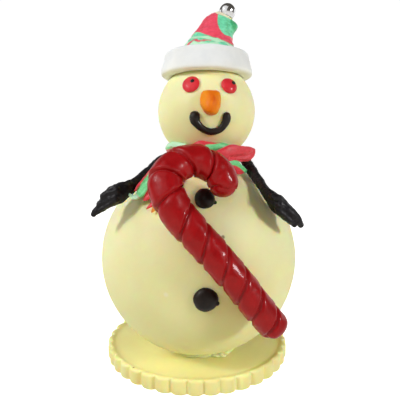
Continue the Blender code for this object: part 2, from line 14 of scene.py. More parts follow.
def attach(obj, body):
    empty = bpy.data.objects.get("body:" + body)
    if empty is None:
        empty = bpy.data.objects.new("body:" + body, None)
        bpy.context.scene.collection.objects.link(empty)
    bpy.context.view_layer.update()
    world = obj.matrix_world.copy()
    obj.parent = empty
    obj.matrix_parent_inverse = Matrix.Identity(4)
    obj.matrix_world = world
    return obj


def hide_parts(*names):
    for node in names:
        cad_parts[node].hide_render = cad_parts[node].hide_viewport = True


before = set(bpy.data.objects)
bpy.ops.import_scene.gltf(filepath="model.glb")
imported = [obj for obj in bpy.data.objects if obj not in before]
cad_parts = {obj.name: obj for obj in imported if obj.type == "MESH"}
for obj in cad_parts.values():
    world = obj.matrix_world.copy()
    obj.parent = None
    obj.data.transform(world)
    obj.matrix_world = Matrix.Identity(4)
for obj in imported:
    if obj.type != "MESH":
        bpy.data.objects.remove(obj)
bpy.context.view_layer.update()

MM = 0.001
PI = math.pi

# The photograph's frame: 400 pixels wide, with this focal length in pixels
FRAME_PIXELS = 400
FOCAL_PIXELS = 412
CAMERA_PLACE = (1.63, -226.38, 110.61)
CAMERA_PITCH_DEGREES = 6.47

# Places and sizes shared with the solids, in millimetres
BODY = np.array([0.9, -13.0, 57.4])
BODY_RADIUS = 50.0
HEAD = np.array([4.9, -13.1, 131.2])
HEAD_RADIUS = 24.5
DISC_RADIUS = 50.0
DISC_HEIGHT = 7.8
DISC_FLOOR = 6.6
FLUTES = 38
FLUTE_DEPTH = 1.9
FIRST_VALLEY = math.radians(-94.9)
TOUCH = 0.04


# ---------------------------------------------------------------- mesh tools

def smooth_rows(rows, steps):
    """Catmull-Rom points through rows of numbers, with the given steps between two rows."""
    rows = np.array(rows, float)
    ends = np.vstack([rows[:1], rows, rows[-1:]])
    out = []
    for index in range(1, len(rows)):
        before, start, end, after = ends[index - 1:index + 3]
        for step in range(steps):
            t = step / steps
            curve = 2 * start + (end - before) * t
            curve = curve + (2 * before - 5 * start + 4 * end - after) * t ** 2
            curve = curve + (3 * start - before - 3 * end + after) * t ** 3
            out.append(curve / 2)
    out.append(rows[-1])
    return np.array(out)


def unit(vectors):
    """Vectors scaled to length one."""
    vectors = np.asarray(vectors, float)
    return vectors / np.linalg.norm(vectors, axis=-1, keepdims=True)


def loft(name, rings, joined=False):
    """A closed mesh, in metres, over rings of points in millimetres.

    It has a cap at each end, or where joined is set its last ring runs back to its first one.
    """
    rings = np.asarray(rings, float)
    count, sides = rings.shape[:2]
    points = [tuple(point * MM) for point in rings.reshape(-1, 3)]
    faces = []
    for low in range(count if joined else count - 1):
        a, b = low * sides, (low + 1) % count * sides
        for side in range(sides):
            after = (side + 1) % sides
            faces.append((a + side, a + after, b + after, b + side))
    for ring_index in () if joined else (0, count - 1):
        middle = len(points)
        points.append(tuple(rings[ring_index].mean(0) * MM))
        start = ring_index * sides
        faces.extend((start + (side + 1) % sides, start + side, middle) for side in range(sides))
    mesh = bpy.data.meshes.new(name)
    mesh.from_pydata(points, [], faces)
    bm = bmesh.new()
    bm.from_mesh(mesh)
    bmesh.ops.recalc_face_normals(bm, faces=bm.faces)
    bm.to_mesh(mesh)
    bm.free()
    mesh.shade_smooth()
    return mesh


def oval(sides, power):
    """How far across and how far outward each point of an oval lies; a power over 2 squares it off."""
    turns = np.linspace(0, 2 * PI, sides, endpoint=False)
    return [np.sign(part) * np.abs(part) ** (2 / power) for part in (np.cos(turns), np.sin(turns))]


def capped_loft(name, rings):
    """A loft with both ends rounded off."""
    return loft(name, np.concatenate([end_rings(rings, 0, 1), rings, end_rings(rings, -1, -2)]))


def sweep(name, stations, middle, sides, steps, power=2.0):
    """An oval swept along stations of x, y, z, half width and half depth.

    Its flat face is turned away from the middle point.
    """
    rows = smooth_rows(stations, steps)
    centres, widths, depths = rows[:, :3], rows[:, 3], rows[:, 4]
    along = unit(np.gradient(centres, axis=0))
    outward = centres - np.asarray(middle, float)
    outward = unit(outward - along * (along * outward).sum(1)[:, None])
    across = np.cross(along, outward)
    wide, deep = oval(sides, power)
    rings = (
        centres[:, None]
        + across[:, None] * (widths[:, None] * wide)[..., None]
        + outward[:, None] * (depths[:, None] * deep)[..., None]
    )
    return capped_loft(name, rings)


def end_rings(rings, at, neighbour, layers=5, blunt=1.0):
    """Rings that round off one end of a sweep."""
    middle = rings[at].mean(0)
    away = unit(middle - rings[neighbour].mean(0))
    reach = np.linalg.norm(rings[at] - middle, axis=1).min() * blunt
    out = []
    for layer in range(1, layers + 1):
        angle = layer / (layers + 0.5) * PI / 2
        out.append(middle + (rings[at] - middle) * math.cos(angle) + away * reach * math.sin(angle))
    return np.array(out[::-1] if at == 0 else out)


def ellipsoid(name, centre, size, axis=(0, 0, 1), sides=48):
    """A ball stretched to the given half sizes, its third axis along axis."""
    aim = Vector(axis).to_track_quat("Z", "Y").to_matrix()
    turn = np.array(aim)
    tilts = np.linspace(0.02, PI - 0.02, sides // 2)
    turns = np.linspace(0, 2 * PI, sides, endpoint=False)
    local = np.stack([
        np.sin(tilts)[:, None] * np.cos(turns) * size[0],
        np.sin(tilts)[:, None] * np.sin(turns) * size[1],
        np.repeat(np.cos(tilts)[:, None], sides, 1) * size[2],
    ], -1)
    return loft(name, local @ turn.T + np.asarray(centre, float))


def link(name, data):
    """A new object in the scene that holds the data."""
    holder = bpy.data.objects.new(name, data)
    bpy.context.scene.collection.objects.link(holder)
    return holder


def co_array(mesh):
    """A mesh's points in millimetres."""
    points = np.zeros(len(mesh.vertices) * 3)
    mesh.vertices.foreach_get("co", points)
    return points.reshape(-1, 3) / MM


def normal_array(mesh):
    """A mesh's point normals."""
    normals = np.zeros(len(mesh.vertices) * 3, np.float32)
    mesh.vertex_normals.foreach_get("vector", normals)
    return normals.reshape(-1, 3).astype(float)


def set_points(mesh, points):
    """Writes points in millimetres back to a mesh."""
    mesh.vertices.foreach_set("co", (points * MM).ravel())
    mesh.update()


def roughen(mesh, grain, height, seed, octaves=2):
    """Moves each point along its normal by smooth noise."""
    points, normals = co_array(mesh), normal_array(mesh)
    shift = Vector((seed * 7.3, seed * 3.1, seed * 5.7))
    lift = [noise.fractal(Vector(p / grain) + shift, 1.0, 2.0, octaves) for p in points]
    set_points(mesh, points + normals * np.array(lift)[:, None] * height)
    return mesh


def push_out(mesh, centre, radius):
    """Keeps every point at least radius away from centre, so a piece beds on a ball."""
    points = co_array(mesh)
    away = points - centre
    distance = np.linalg.norm(away, axis=1)
    set_points(mesh, centre + away * (np.maximum(distance, radius) / distance)[:, None])
    return mesh


def distance_to_run(points, run, steps):
    """How far each point is from a smooth line through a run of points."""
    line = smooth_rows(run, steps)
    return np.linalg.norm(points[:, None] - line[None], axis=2).min(1)


def crease(mesh, run, width, depth):
    """Presses a soft groove into a mesh along a run of points."""
    points, normals = co_array(mesh), normal_array(mesh)
    away = distance_to_run(points, run, 8)
    set_points(mesh, points - normals * (depth * np.exp(-(away / width) ** 2))[:, None])


def fuse(name, meshes, voxel, rounds):
    """Joins overlapping closed meshes into one skin and eases it."""
    bm = bmesh.new()
    for mesh in meshes:
        bm.from_mesh(mesh)
    joined = bpy.data.meshes.new(name)
    bm.to_mesh(joined)
    bm.free()
    holder = link(name, joined)
    remesh = holder.modifiers.new("remesh", "REMESH")
    remesh.mode = "VOXEL"
    remesh.voxel_size = voxel * MM
    ease = holder.modifiers.new("ease", "SMOOTH")
    ease.factor = 0.6
    ease.iterations = rounds
    bpy.context.view_layer.update()
    evaluated = holder.evaluated_get(bpy.context.evaluated_depsgraph_get())
    fused = bpy.data.meshes.new_from_object(evaluated)
    bpy.data.objects.remove(holder)
    fused.shade_smooth()
    return fused


def add_field(mesh, name, values):
    """Stores one number a point, which the piece's material reads."""
    layer = mesh.attributes.new(name, "FLOAT", "POINT")
    layer.data.foreach_set("value", np.asarray(values, np.float32))


# The colour fields of marbled paste, from the lowest layer to the highest. The accent is orange on the
# scarf, and on the hat a darker green painted as shade on the fold's lobe
FIELDS = ("green", "mint", "cream", "accent")
# A field's value where its colour isn't used at all
NOWHERE = -9.0
PAINT_STEPS = 10


def paint(mesh, strands):
    """Gives each point of a mesh the colour of its nearest strand.

    A strand is a colour, a half width and a run of points. Each field is how far its colour wins, in
    millimetres. Red is the ground that shows where no field wins, so it has no field.
    """
    points = co_array(mesh)
    reach = {}
    for color, half_width, run in strands:
        away = distance_to_run(points, run, PAINT_STEPS) - half_width
        reach[color] = np.minimum(reach[color], away) if color in reach else away
    for field in FIELDS:
        if field not in reach:
            add_field(mesh, field, np.full(len(points), NOWHERE))
            continue
        others = [value for color, value in reach.items() if color != field]
        add_field(mesh, field, (np.min(others, axis=0) - reach[field]) / 2)


RIBBON_SIDES = 40
RIBBON_STEPS = 10
RIBBON_POWER = 3.0


def ribbon(name, rows):
    """A rounded band between two edges; a row is a point on each edge and half the thickness."""
    rows = smooth_rows(rows, RIBBON_STEPS)
    first, second, depths = rows[:, :3], rows[:, 3:6], rows[:, 6]
    centres = (first + second) / 2
    half = (first - second) / 2
    along = unit(np.gradient(centres, axis=0))
    outward = unit(np.cross(along, half))
    wide, deep = oval(RIBBON_SIDES, RIBBON_POWER)
    rise = (outward * depths[:, None])[:, None] * deep[:, None]
    rings = centres[:, None] + half[:, None] * wide[:, None] + rise
    return capped_loft(name, rings)


def add_piece(name, mesh, node, material):
    """Puts a finished mesh in the scene in place of its CAD node."""
    mesh.materials.clear()
    mesh.materials.append(material)
    piece = link(name, mesh)
    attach(piece, "root")
    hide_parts(node)
    return piece


# ---------------------------------------------------------------- materials

def new_material(name):
    """A material with its node tree and its Principled shader."""
    material = bpy.data.materials.new(name)
    material.use_nodes = True
    tree = material.node_tree
    return material, tree, tree.nodes["Principled BSDF"]


def set_inputs(shader, values):
    """Sets shader inputs by name."""
    for name, value in values.items():
        shader.inputs[name].default_value = value


def sink_light(shader, weight, radius, scale):
    """Lets light sink into a surface, on a scale in millimetres."""
    set_inputs(shader, {
        "Subsurface Weight": weight,
        "Subsurface Radius": radius,
        "Subsurface Scale": scale * MM,
    })


def color_surface(tree, shader, color):
    """Feeds a colour to the shader."""
    tree.links.new(color, shader.inputs["Base Color"])


def vary_gloss(tree, shader, haze, low, high):
    """Lets the roughness drift between two values with a noise."""
    tree.links.new(range_node(tree, haze, 0.3, 0.7, low, high), shader.inputs["Roughness"])


def field_node(tree, field):
    """A field that the mesh carries."""
    source = tree.nodes.new("ShaderNodeAttribute")
    source.attribute_name = field
    return source.outputs["Fac"]


def noise_node(tree, scale, detail=3.0, roughness=0.5, stretch=(1, 1, 1), seed=0.0):
    """Noise over object space, scale in cycles a metre."""
    place = tree.nodes.new("ShaderNodeTexCoord")
    mapping = tree.nodes.new("ShaderNodeMapping")
    mapping.inputs["Scale"].default_value = stretch
    mapping.inputs["Location"].default_value = (seed, seed * 0.7, seed * 1.3)
    texture = tree.nodes.new("ShaderNodeTexNoise")
    texture.inputs["Scale"].default_value = scale
    texture.inputs["Detail"].default_value = detail
    texture.inputs["Roughness"].default_value = roughness
    tree.links.new(place.outputs["Object"], mapping.inputs["Vector"])
    tree.links.new(mapping.outputs["Vector"], texture.inputs["Vector"])
    return texture.outputs["Fac"]


def ramp_node(tree, value, stops):
    """A colour ramp through (position, colour) stops."""
    ramp = tree.nodes.new("ShaderNodeValToRGB")
    elements = ramp.color_ramp.elements
    while len(elements) < len(stops):
        elements.new(0.5)
    for element, (position, color) in zip(elements, stops):
        element.position = position
        element.color = color if len(color) == 4 else (*color, 1.0)
    tree.links.new(value, ramp.inputs["Fac"])
    return ramp.outputs["Color"]


def range_node(tree, value, low, high, to_low, to_high):
    """Maps a value range to another, clamped."""
    node = tree.nodes.new("ShaderNodeMapRange")
    tree.links.new(value, node.inputs["Value"])
    node.inputs["From Min"].default_value = low
    node.inputs["From Max"].default_value = high
    node.inputs["To Min"].default_value = to_low
    node.inputs["To Max"].default_value = to_high
    return node.outputs["Result"]


def mix_node(tree, factor, first, second):
    """Mixes two colours, each a socket or a colour."""
    node = tree.nodes.new("ShaderNodeMix")
    node.data_type = "RGBA"
    for socket, value in ((node.inputs[0], factor), (node.inputs[6], first), (node.inputs[7], second)):
        if isinstance(value, bpy.types.NodeSocket):
            tree.links.new(value, socket)
        elif isinstance(value, (int, float)):
            socket.default_value = value
        else:
            socket.default_value = (*value, 1.0)
    return node.outputs[2]


def math_node(tree, operation, first, second):
    """One sum over sockets or numbers."""
    node = tree.nodes.new("ShaderNodeMath")
    node.operation = operation
    for socket, value in zip(node.inputs, (first, second)):
        if isinstance(value, bpy.types.NodeSocket):
            tree.links.new(value, socket)
        else:
            socket.default_value = value
    return node.outputs[0]


def bump_node(tree, shader, height, strength, distance):
    """Feeds a height to the shader's normal."""
    bump = tree.nodes.new("ShaderNodeBump")
    bump.inputs["Strength"].default_value = strength
    bump.inputs["Distance"].default_value = distance * MM
    tree.links.new(height, bump.inputs["Height"])
    tree.links.new(bump.outputs["Normal"], shader.inputs["Normal"])


def spot_mask(tree, centre, radius, softness):
    """One inside a small ball round a point of the frame, and zero outside it."""
    place = tree.nodes.new("ShaderNodeTexCoord")
    distance = tree.nodes.new("ShaderNodeVectorMath")
    distance.operation = "DISTANCE"
    tree.links.new(place.outputs["Object"], distance.inputs[0])
    distance.inputs[1].default_value = tuple(np.array(centre) * MM)
    return range_node(tree, distance.outputs["Value"], radius * MM, (radius + softness) * MM, 1.0, 0.0)


def white_chocolate(name, base, deep, seed, spots=()):
    """Cream coloured chocolate: faint clouding, soft gloss and light that sinks in a little."""
    material, tree, shader = new_material(name)
    clouds = noise_node(tree, 45.0, 4.0, 0.55, seed=seed)
    color = ramp_node(tree, clouds, ((0.30, deep), (0.70, base)))
    specks = noise_node(tree, 900.0, 2.0, 0.6, seed=seed + 3)
    color = mix_node(tree, range_node(tree, specks, 0.62, 0.75, 0.0, 0.10), color, (0.93, 0.90, 0.66))
    for centre, radius, softness, spot_color, amount in spots:
        mask = math_node(tree, "MULTIPLY", spot_mask(tree, centre, radius, softness), amount)
        color = mix_node(tree, mask, color, spot_color)
    color_surface(tree, shader, color)
    vary_gloss(tree, shader, noise_node(tree, 120.0, 3.0, 0.6, seed=seed + 5), 0.46, 0.60)
    sink_light(shader, 0.7, (1.0, 0.55, 0.18), 3.0)
    set_inputs(shader, {"Specular IOR Level": 0.40})
    grain = noise_node(tree, 1500.0, 3.0, 0.6, seed=seed + 9)
    ripple = noise_node(tree, 60.0, 2.0, 0.5, seed=seed + 11)
    height = math_node(tree, "ADD", math_node(tree, "MULTIPLY", grain, 0.10), ripple)
    bump_node(tree, shader, height, 0.35, 0.35)
    return material


WARM_DARK = ((0.0080, 0.0048, 0.0038), (0.019, 0.0115, 0.0085))
COLD_DARK = ((0.0055, 0.0047, 0.0062), (0.013, 0.011, 0.014))


def dark_chocolate(name, roughness, coat, seed, tones=WARM_DARK):
    """Tempered dark chocolate with a faint bloom."""
    material, tree, shader = new_material(name)
    bloom = noise_node(tree, 250.0, 4.0, 0.6, seed=seed)
    color_surface(tree, shader, ramp_node(tree, bloom, ((0.35, tones[0]), (0.75, tones[1]))))
    haze = noise_node(tree, 400.0, 3.0, 0.6, seed=seed + 2)
    vary_gloss(tree, shader, haze, roughness - 0.06, roughness + 0.10)
    set_inputs(shader, {"Specular IOR Level": 0.17, "Coat Weight": coat, "Coat Roughness": 0.15})
    bump_node(tree, shader, noise_node(tree, 900.0, 4.0, 0.6, seed=seed + 4), 0.30, 0.12)
    return material


def glossy_sugar(name, base, deep, roughness, coat, seed):
    """Deep coloured glossy sugar or paste."""
    material, tree, shader = new_material(name)
    tone = noise_node(tree, 160.0, 4.0, 0.6, seed=seed)
    color_surface(tree, shader, ramp_node(tree, tone, ((0.32, deep), (0.68, base))))
    haze = noise_node(tree, 350.0, 3.0, 0.6, seed=seed + 2)
    vary_gloss(tree, shader, haze, roughness - 0.05, roughness + 0.09)
    sink_light(shader, 0.15, (1.0, 0.15, 0.10), 0.8)
    set_inputs(shader, {"Specular IOR Level": 0.12, "Coat Weight": coat, "Coat Roughness": 0.075})
    bump_node(tree, shader, noise_node(tree, 700.0, 4.0, 0.55, seed=seed + 4), 0.25, 0.10)
    return material


SCARF_REDS = ((0.60, 0.014, 0.030), (0.74, 0.028, 0.055))
HAT_REDS = ((0.76, 0.040, 0.090), (0.90, 0.075, 0.150))
SCARF_GREENS = ((0.12, 0.58, 0.21), (0.21, 0.77, 0.33))
# A darker green painted as shade on the lobe of the hat's fold
FOLD_SHADE_GREEN = (0.035, 0.43, 0.17)
HAT_GREENS = ((0.10, 0.56, 0.31), (0.19, 0.77, 0.49))
PASTE_MINT = (0.50, 0.82, 0.58)
PASTE_CREAM = (0.86, 0.78, 0.55)
PASTE_ORANGE = (0.80, 0.30, 0.03)
SCARF_COLORS = (SCARF_REDS, SCARF_GREENS, PASTE_ORANGE)
HAT_COLORS = (HAT_REDS, HAT_GREENS, FOLD_SHADE_GREEN)


def marbled_paste(name, seed, streaks, edge, wander_by=1.1, colors=SCARF_COLORS):
    """Kneaded paste: a red ground under green, mint, cream and accent runs, set by the piece's own fields.

    The colours are two reds, two greens and the accent. The fields blend over edge to each side, and
    their borders wander by up to half of wander_by, both in millimetres.
    """
    reds, greens, accent = colors
    material, tree, shader = new_material(name)
    wander = noise_node(tree, 330.0, 4.0, 0.6, streaks, seed)
    wander = math_node(tree, "MULTIPLY", math_node(tree, "SUBTRACT", wander, 0.5), wander_by)
    streak = noise_node(tree, 420.0, 5.0, 0.65, streaks, seed + 4)
    color = ramp_node(tree, streak, ((0.34, reds[0]), (0.66, reds[1])))
    green = ramp_node(tree, streak, ((0.34, greens[0]), (0.60, greens[1]), (0.82, PASTE_MINT)))
    for field, layer in zip(FIELDS, (green, PASTE_MINT, PASTE_CREAM, accent)):
        value = math_node(tree, "ADD", field_node(tree, field), wander)
        color = mix_node(tree, range_node(tree, value, -edge, edge, 0.0, 1.0), color, layer)
    color_surface(tree, shader, color)
    vary_gloss(tree, shader, noise_node(tree, 500.0, 3.0, 0.6, streaks, seed + 2), 0.38, 0.54)
    sink_light(shader, 0.20, (1.0, 0.6, 0.4), 0.8)
    set_inputs(shader, {"Sheen Weight": 0.15})
    bump_node(tree, shader, noise_node(tree, 800.0, 4.0, 0.6, streaks, seed + 6), 0.35, 0.15)
    return material


def white_paste(name):
    """Matte white sugar paste with a powdery skin."""
    material, tree, shader = new_material(name)
    clouds = noise_node(tree, 90.0, 4.0, 0.6, seed=2.0)
    color = ramp_node(tree, clouds, ((0.3, (0.75, 0.78, 0.83)), (0.7, (0.84, 0.865, 0.90))))
    color_surface(tree, shader, color)
    vary_gloss(tree, shader, noise_node(tree, 600.0, 3.0, 0.6, seed=4.0), 0.55, 0.75)
    sink_light(shader, 0.25, (1.0, 0.9, 0.8), 1.5)
    set_inputs(shader, {"Specular IOR Level": 0.25})
    bump_node(tree, shader, noise_node(tree, 1100.0, 4.0, 0.65, seed=6.0), 0.35, 0.12)
    return material


def silver_sugar(name):
    """The silver coating of a sugar pearl, slightly pitted."""
    material, tree, shader = new_material(name)
    tone = noise_node(tree, 700.0, 3.0, 0.6, seed=1.0)
    color = ramp_node(tree, tone, ((0.3, (0.62, 0.62, 0.62)), (0.7, (0.86, 0.86, 0.86))))
    color_surface(tree, shader, color)
    vary_gloss(tree, shader, tone, 0.08, 0.20)
    set_inputs(shader, {"Metallic": 1.0})
    bump_node(tree, shader, noise_node(tree, 900.0, 3.0, 0.6, seed=3.0), 0.25, 0.05)
    return material


def orange_paste(name):
    """Carrot coloured paste, painted lighter and yellower away from its ridge as painted rim light, with the
    ridge left darker as painted shade.
    """
    material, tree, shader = new_material(name)
    tone = noise_node(tree, 300.0, 4.0, 0.6, (1, 1, 0.4), 5.0)
    base = ramp_node(tree, tone, ((0.30, (0.70, 0.110, 0.003)), (0.72, (0.86, 0.24, 0.005))))
    # Painted rim light: the nose's field mixes in a lighter, yellower orange towards its sides
    color_surface(tree, shader, mix_node(tree, field_node(tree, "painted_rim_light"), base, (0.84, 0.27, 0.008)))
    set_inputs(shader, {"Roughness": 0.42, "Specular IOR Level": 0.15})
    sink_light(shader, 0.25, (1.0, 0.4, 0.1), 1.2)
    bump_node(tree, shader, noise_node(tree, 700.0, 4.0, 0.6, (1, 1, 0.4), 8.0), 0.3, 0.12)
    return material


# ---------------------------------------------------------------- disc and balls

def flute_crest(turns):
    """How full the wall is at each turn: one on a flute's back and zero in a valley."""
    drift = turns + 0.012 * np.sin(3 * turns) + 0.010 * np.sin(5 * turns + 1)
    across = ((drift - FIRST_VALLEY) * FLUTES / (2 * PI)) % 1.0 * 2 - 1
    return 1 - np.abs(across) ** 2.6


def build_disc():
    """The fluted disc with its scalloped lip and slightly uneven top."""
    sides = FLUTES * 18
    turns = np.linspace(0, 2 * PI, sides, endpoint=False)
    crest = flute_crest(turns)
    uneven = 0.10 * np.sin(5 * turns + 1.0) + 0.08 * np.sin(11 * turns) + 0.10 * np.sin(17 * turns + 2)
    wall = (
        (1.1, 0.0), (0.45, 0.25), (0.12, 0.8), (0.05, 1.6), (0.0, 3.2), (0.04, 4.8), (0.0, 6.1), (0.10, 6.8),
        (0.35, 7.25), (0.8, 7.55), (1.4, 7.65), (2.0, 7.6), (2.6, 7.4), (3.2, 7.1), (3.9, 6.85), (4.8, 6.68),
        (6.0, DISC_FLOOR),
    )
    rings = [np.stack([0.02 * np.cos(turns), 0.02 * np.sin(turns), 0 * turns], -1)]
    for inset, height in wall:
        fade = max(0.0, 1 - inset / 4.5)
        radius = DISC_RADIUS - 0.1 - inset - (FLUTE_DEPTH * fade + 0.3 * uneven) * (1 - crest)
        share = (height > 6.5) * (height - DISC_FLOOR) / (DISC_HEIGHT - DISC_FLOOR)
        dip = (0.55 * (1 - crest) + uneven) * share
        level = np.clip(height - np.maximum(dip, -0.12), 0.0, DISC_HEIGHT)
        rings.append(np.stack([radius * np.cos(turns), radius * np.sin(turns), level], -1))
    for radius in (42.5, 40.0, 37.0, 33.0, 28.0, 23.0, 18.0, 13.0, 8.0, 3.0):
        height = DISC_FLOOR + 0.08 * np.sin(turns * 2 + radius * 0.2) * min(1, radius / 20)
        rings.append(np.stack([radius * np.cos(turns), radius * np.sin(turns), height], -1))
    fleck = (-30.6, -37.15, 7.0)
    material = white_chocolate(
        "disc_chocolate", (0.92, 0.88, 0.44), (0.88, 0.82, 0.37), 1.0,
        ((fleck, 0.50, 0.25, (0.16, 0.045, 0.02), 0.95),),
    )
    add_piece("fluted_disc", loft("fluted_disc", rings), "base_disc", material)


# The joint's radius, and its height under the body's flat foot
JOIN_RADIUS = 13.4
JOIN_TOP = 7.86
BODY_FOOT_RADIUS = 9.3
# The lump's parts: middle, half sizes and upward axis
JOIN_LUMPS = (
    ((12.6, -23.4, 7.6), (3.0, 2.6, 1.4), (0.3, 0.1, 1.0)),
    ((15.4, -23.0, 8.6), (3.0, 2.6, 1.5), (-0.4, 0.1, 1.0)),
    ((17.4, -22.4, 9.8), (1.7, 2.0, 1.3), (-0.5, 0.1, 1.0)),
    ((9.6, -24.0, 7.2), (2.6, 2.2, 0.9), (0.1, 0.1, 1.0)),
)


def build_join():
    """Melted chocolate squeezed out between the disc and the body, with one lump at the front right."""
    sides = 160
    turns = np.linspace(0, 2 * PI, sides, endpoint=False)
    ripple = 0.35 * np.sin(5 * turns) + 0.25 * np.sin(9 * turns + 1.3)
    edge = JOIN_RADIUS + ripple
    low = DISC_FLOOR + 0.12
    rings = []
    outer = ((0.05, 0), (0.5, 0), (0.9, 0), (1.0, 0.0), (1.03, 0.25), (1.02, 0.6), (0.98, 0.9))
    for share, height in outer:
        rings.append((share * edge, low + height))
    for share in (0.93, 0.86, 0.78, 0.7, 0.62, 0.55, 0.4, 0.2, 0.05):
        radius = share * edge
        surface = BODY[2] - np.sqrt((BODY_RADIUS + TOUCH) ** 2 - radius ** 2)
        rings.append((radius, np.maximum(np.minimum(surface, low + 1.5 + 0.2 * ripple), JOIN_TOP - 0.1)))
    points = []
    for radius, height in rings:
        level = np.zeros(sides) + height
        across, back = radius * np.cos(turns), radius * np.sin(turns)
        points.append(np.stack([BODY[0] + across, BODY[1] + back, level], -1))
    lumps = [ellipsoid("lump", *lump, 32) for lump in JOIN_LUMPS]
    mesh = fuse("squeezed_chocolate", [loft("squeezed", points)] + lumps, 0.22, 5)
    roughen(mesh, 2.2, 0.22, 27)
    push_out(mesh, BODY, BODY_RADIUS + TOUCH)
    points = co_array(mesh)
    inside = np.hypot(points[:, 0] - BODY[0], points[:, 1] - BODY[1]) < BODY_FOOT_RADIUS
    points[:, 2] = np.where(inside, np.minimum(points[:, 2], JOIN_TOP), points[:, 2])
    points[:, 2] = np.maximum(points[:, 2], low)
    set_points(mesh, points)
    material = white_chocolate("join_chocolate", (0.92, 0.89, 0.58), (0.88, 0.83, 0.46), 4.0)
    add_piece("squeezed_chocolate", mesh, "joining_chocolate", material)


def cast_ball(name, centre, radius, foot, top, seed, wave):
    """A cast ball with the faint unevenness of its mould and flats where it touches."""
    mesh = ellipsoid(name, centre, (radius, radius, radius), sides=176)
    points = co_array(mesh)
    away = unit(points - centre)
    shift = Vector((seed * 3.3, seed, seed * 2.1))
    lift = [noise.fractal(Vector(p / 17.0) + shift, 1.0, 2.0, 2) for p in away * radius]
    points = centre + away * (radius - 0.12 + wave * np.clip(np.array(lift), -1, 1))[:, None]
    points[:, 2] = np.maximum(points[:, 2], foot)
    if top is not None:
        points[:, 2] = np.minimum(points[:, 2], top)
    set_points(mesh, points)
    return mesh


def on_ball(direction, centre, radius):
    """The point of a ball's surface in a direction from its centre."""
    return centre + unit(direction) * radius


def build_balls():
    """The body and the head."""
    crumb = on_ball((10.3, -45.3, 18.7), BODY, BODY_RADIUS)
    smear = on_ball((3.6, -34.0, -36.5), BODY, BODY_RADIUS)
    scuff = on_ball((-13.4, -47.9, -5.2), BODY, BODY_RADIUS)
    body_material = white_chocolate(
        "body_chocolate", (0.885, 0.872, 0.52), (0.855, 0.83, 0.45), 7.0,
        (
            (crumb, 0.5, 0.5, (0.20, 0.12, 0.03), 0.8),
            (smear, 1.2, 1.5, (0.95, 0.93, 0.72), 0.5),
            (scuff, 0.5, 0.9, (0.95, 0.94, 0.78), 0.6),
        ),
    )
    body = cast_ball("cast_body", BODY, BODY_RADIUS, 7.9, 106.9, 1.0, 0.12)
    add_piece("cast_body", body, "body_ball", body_material)
    head_material = white_chocolate("head_chocolate", (0.885, 0.868, 0.52), (0.855, 0.83, 0.45), 12.0)
    head = cast_ball("cast_head", HEAD, HEAD_RADIUS, 107.2, None, 5.0, 0.08)
    add_piece("cast_head", head, "head_ball", head_material)


# ---------------------------------------------------------------- hat

# The band's rings: radius, height over the head's middle and backward tilt in degrees
BAND_RINGS = (
    (18.0, 16.8, 3.0),
    (19.5, 16.8, 1.8),
    (21.2, 17.1, 0.8),
    (22.4, 17.8, 0.4),
    (22.85, 18.9, 0.4),
    (22.5, 21.0, 0.8),
    (21.9, 23.4, 1.6),
    (21.3, 25.7, 2.2),
    (21.1, 26.9, 2.2),
    (20.75, 27.7, 2.2),
    (20.0, 28.2, 2.0),
    (18.6, 28.35, 2.0),
    (16.0, 28.3, 2.0),
)


# The hollow under the band, which follows the head's crown out to its lower opening
BAND_OPENING = 17.9
CROWN_TILT = 8.0
CROWN_START = 0.03
CROWN_STEPS = 8


def build_band():
    """The white band: a thick tapered ring, hollow below where the head fits."""
    sides = 144
    turns = np.linspace(0, 2 * PI, sides, endpoint=False)
    rings = []
    inside = HEAD_RADIUS + TOUCH
    last_angle = math.asin(BAND_OPENING / inside)
    for step in range(CROWN_STEPS + 1):
        angle = CROWN_START + (last_angle - CROWN_START) * step / CROWN_STEPS
        rings.append((inside * math.sin(angle), inside * math.cos(angle), CROWN_TILT))
    rings.extend(tuple(row) for row in smooth_rows(BAND_RINGS, 5))
    rings.extend([(10.0, 28.3, 2.0), (3.0, 28.3, 2.0)])
    points = []
    for radius, height, tilt_degrees in rings:
        tilt = math.radians(tilt_degrees)
        axis = np.array([0.0, math.sin(tilt), math.cos(tilt)])
        back = np.array([0.0, math.cos(tilt), -math.sin(tilt)])
        middle = HEAD + axis * height
        wobble = 1 + (0.006 * np.sin(3 * turns + 1) + 0.004 * np.sin(8 * turns)) * (radius > 19.5)
        points.append(
            middle + radius * wobble[:, None] * np.cos(turns)[:, None] * np.array([1.0, 0, 0])
            + radius * wobble[:, None] * np.sin(turns)[:, None] * back
        )
    mesh = roughen(loft("white_band", points), 6.0, 0.12, 3)
    push_out(mesh, HEAD, HEAD_RADIUS + TOUCH)
    add_piece("white_band", mesh, "hat_band", white_paste("band_paste"))


HAT_STATIONS = (
    (5.8, -12.8, 160.1, 12.6),
    (5.8, -12.5, 163.4, 12.2),
    (6.05, -12.3, 165.3, 11.0),
    (6.85, -12.0, 167.3, 10.3),
    (7.7, -11.6, 169.0, 9.8),
    (9.2, -11.0, 171.7, 8.8),
    (10.05, -10.4, 174.6, 7.5),
    (10.9, -9.8, 177.5, 6.4),
    (11.5, -9.3, 179.4, 4.9),
    (12.1, -9.0, 180.8, 3.4),
    (12.6, -9.0, 181.5, 1.5),
)
PEARL = np.array([15.2, -12.5, 180.4])
PEARL_RADIUS = 4.0


def bump_at(points, centre, spread, height, direction):
    """Raises a soft lump on a set of points."""
    fall = np.exp(-(((points - np.array(centre)) / np.array(spread)) ** 2).sum(1))
    return points + fall[:, None] * height * unit(direction)


# Where the red layer of the hat ends, seen from the front: above this line of x and z
RED_FLOOR_X = (-7.0, 0.4, 3.1, 6.5, 9.4, 12.3, 16.1, 20.0)
RED_FLOOR_Z = (169.6, 169.1, 166.8, 165.4, 165.0, 163.9, 163.4, 163.4)
# Where the green fold begins: right of this line of z and x, and above its own lower edge
FOLD_LEFT_Z = (166.2, 167.1, 168.3, 170.2, 172.5, 174.4, 176.7, 179.0)
FOLD_LEFT_X = (14.8, 13.2, 11.6, 10.5, 9.9, 10.0, 10.4, 11.0)
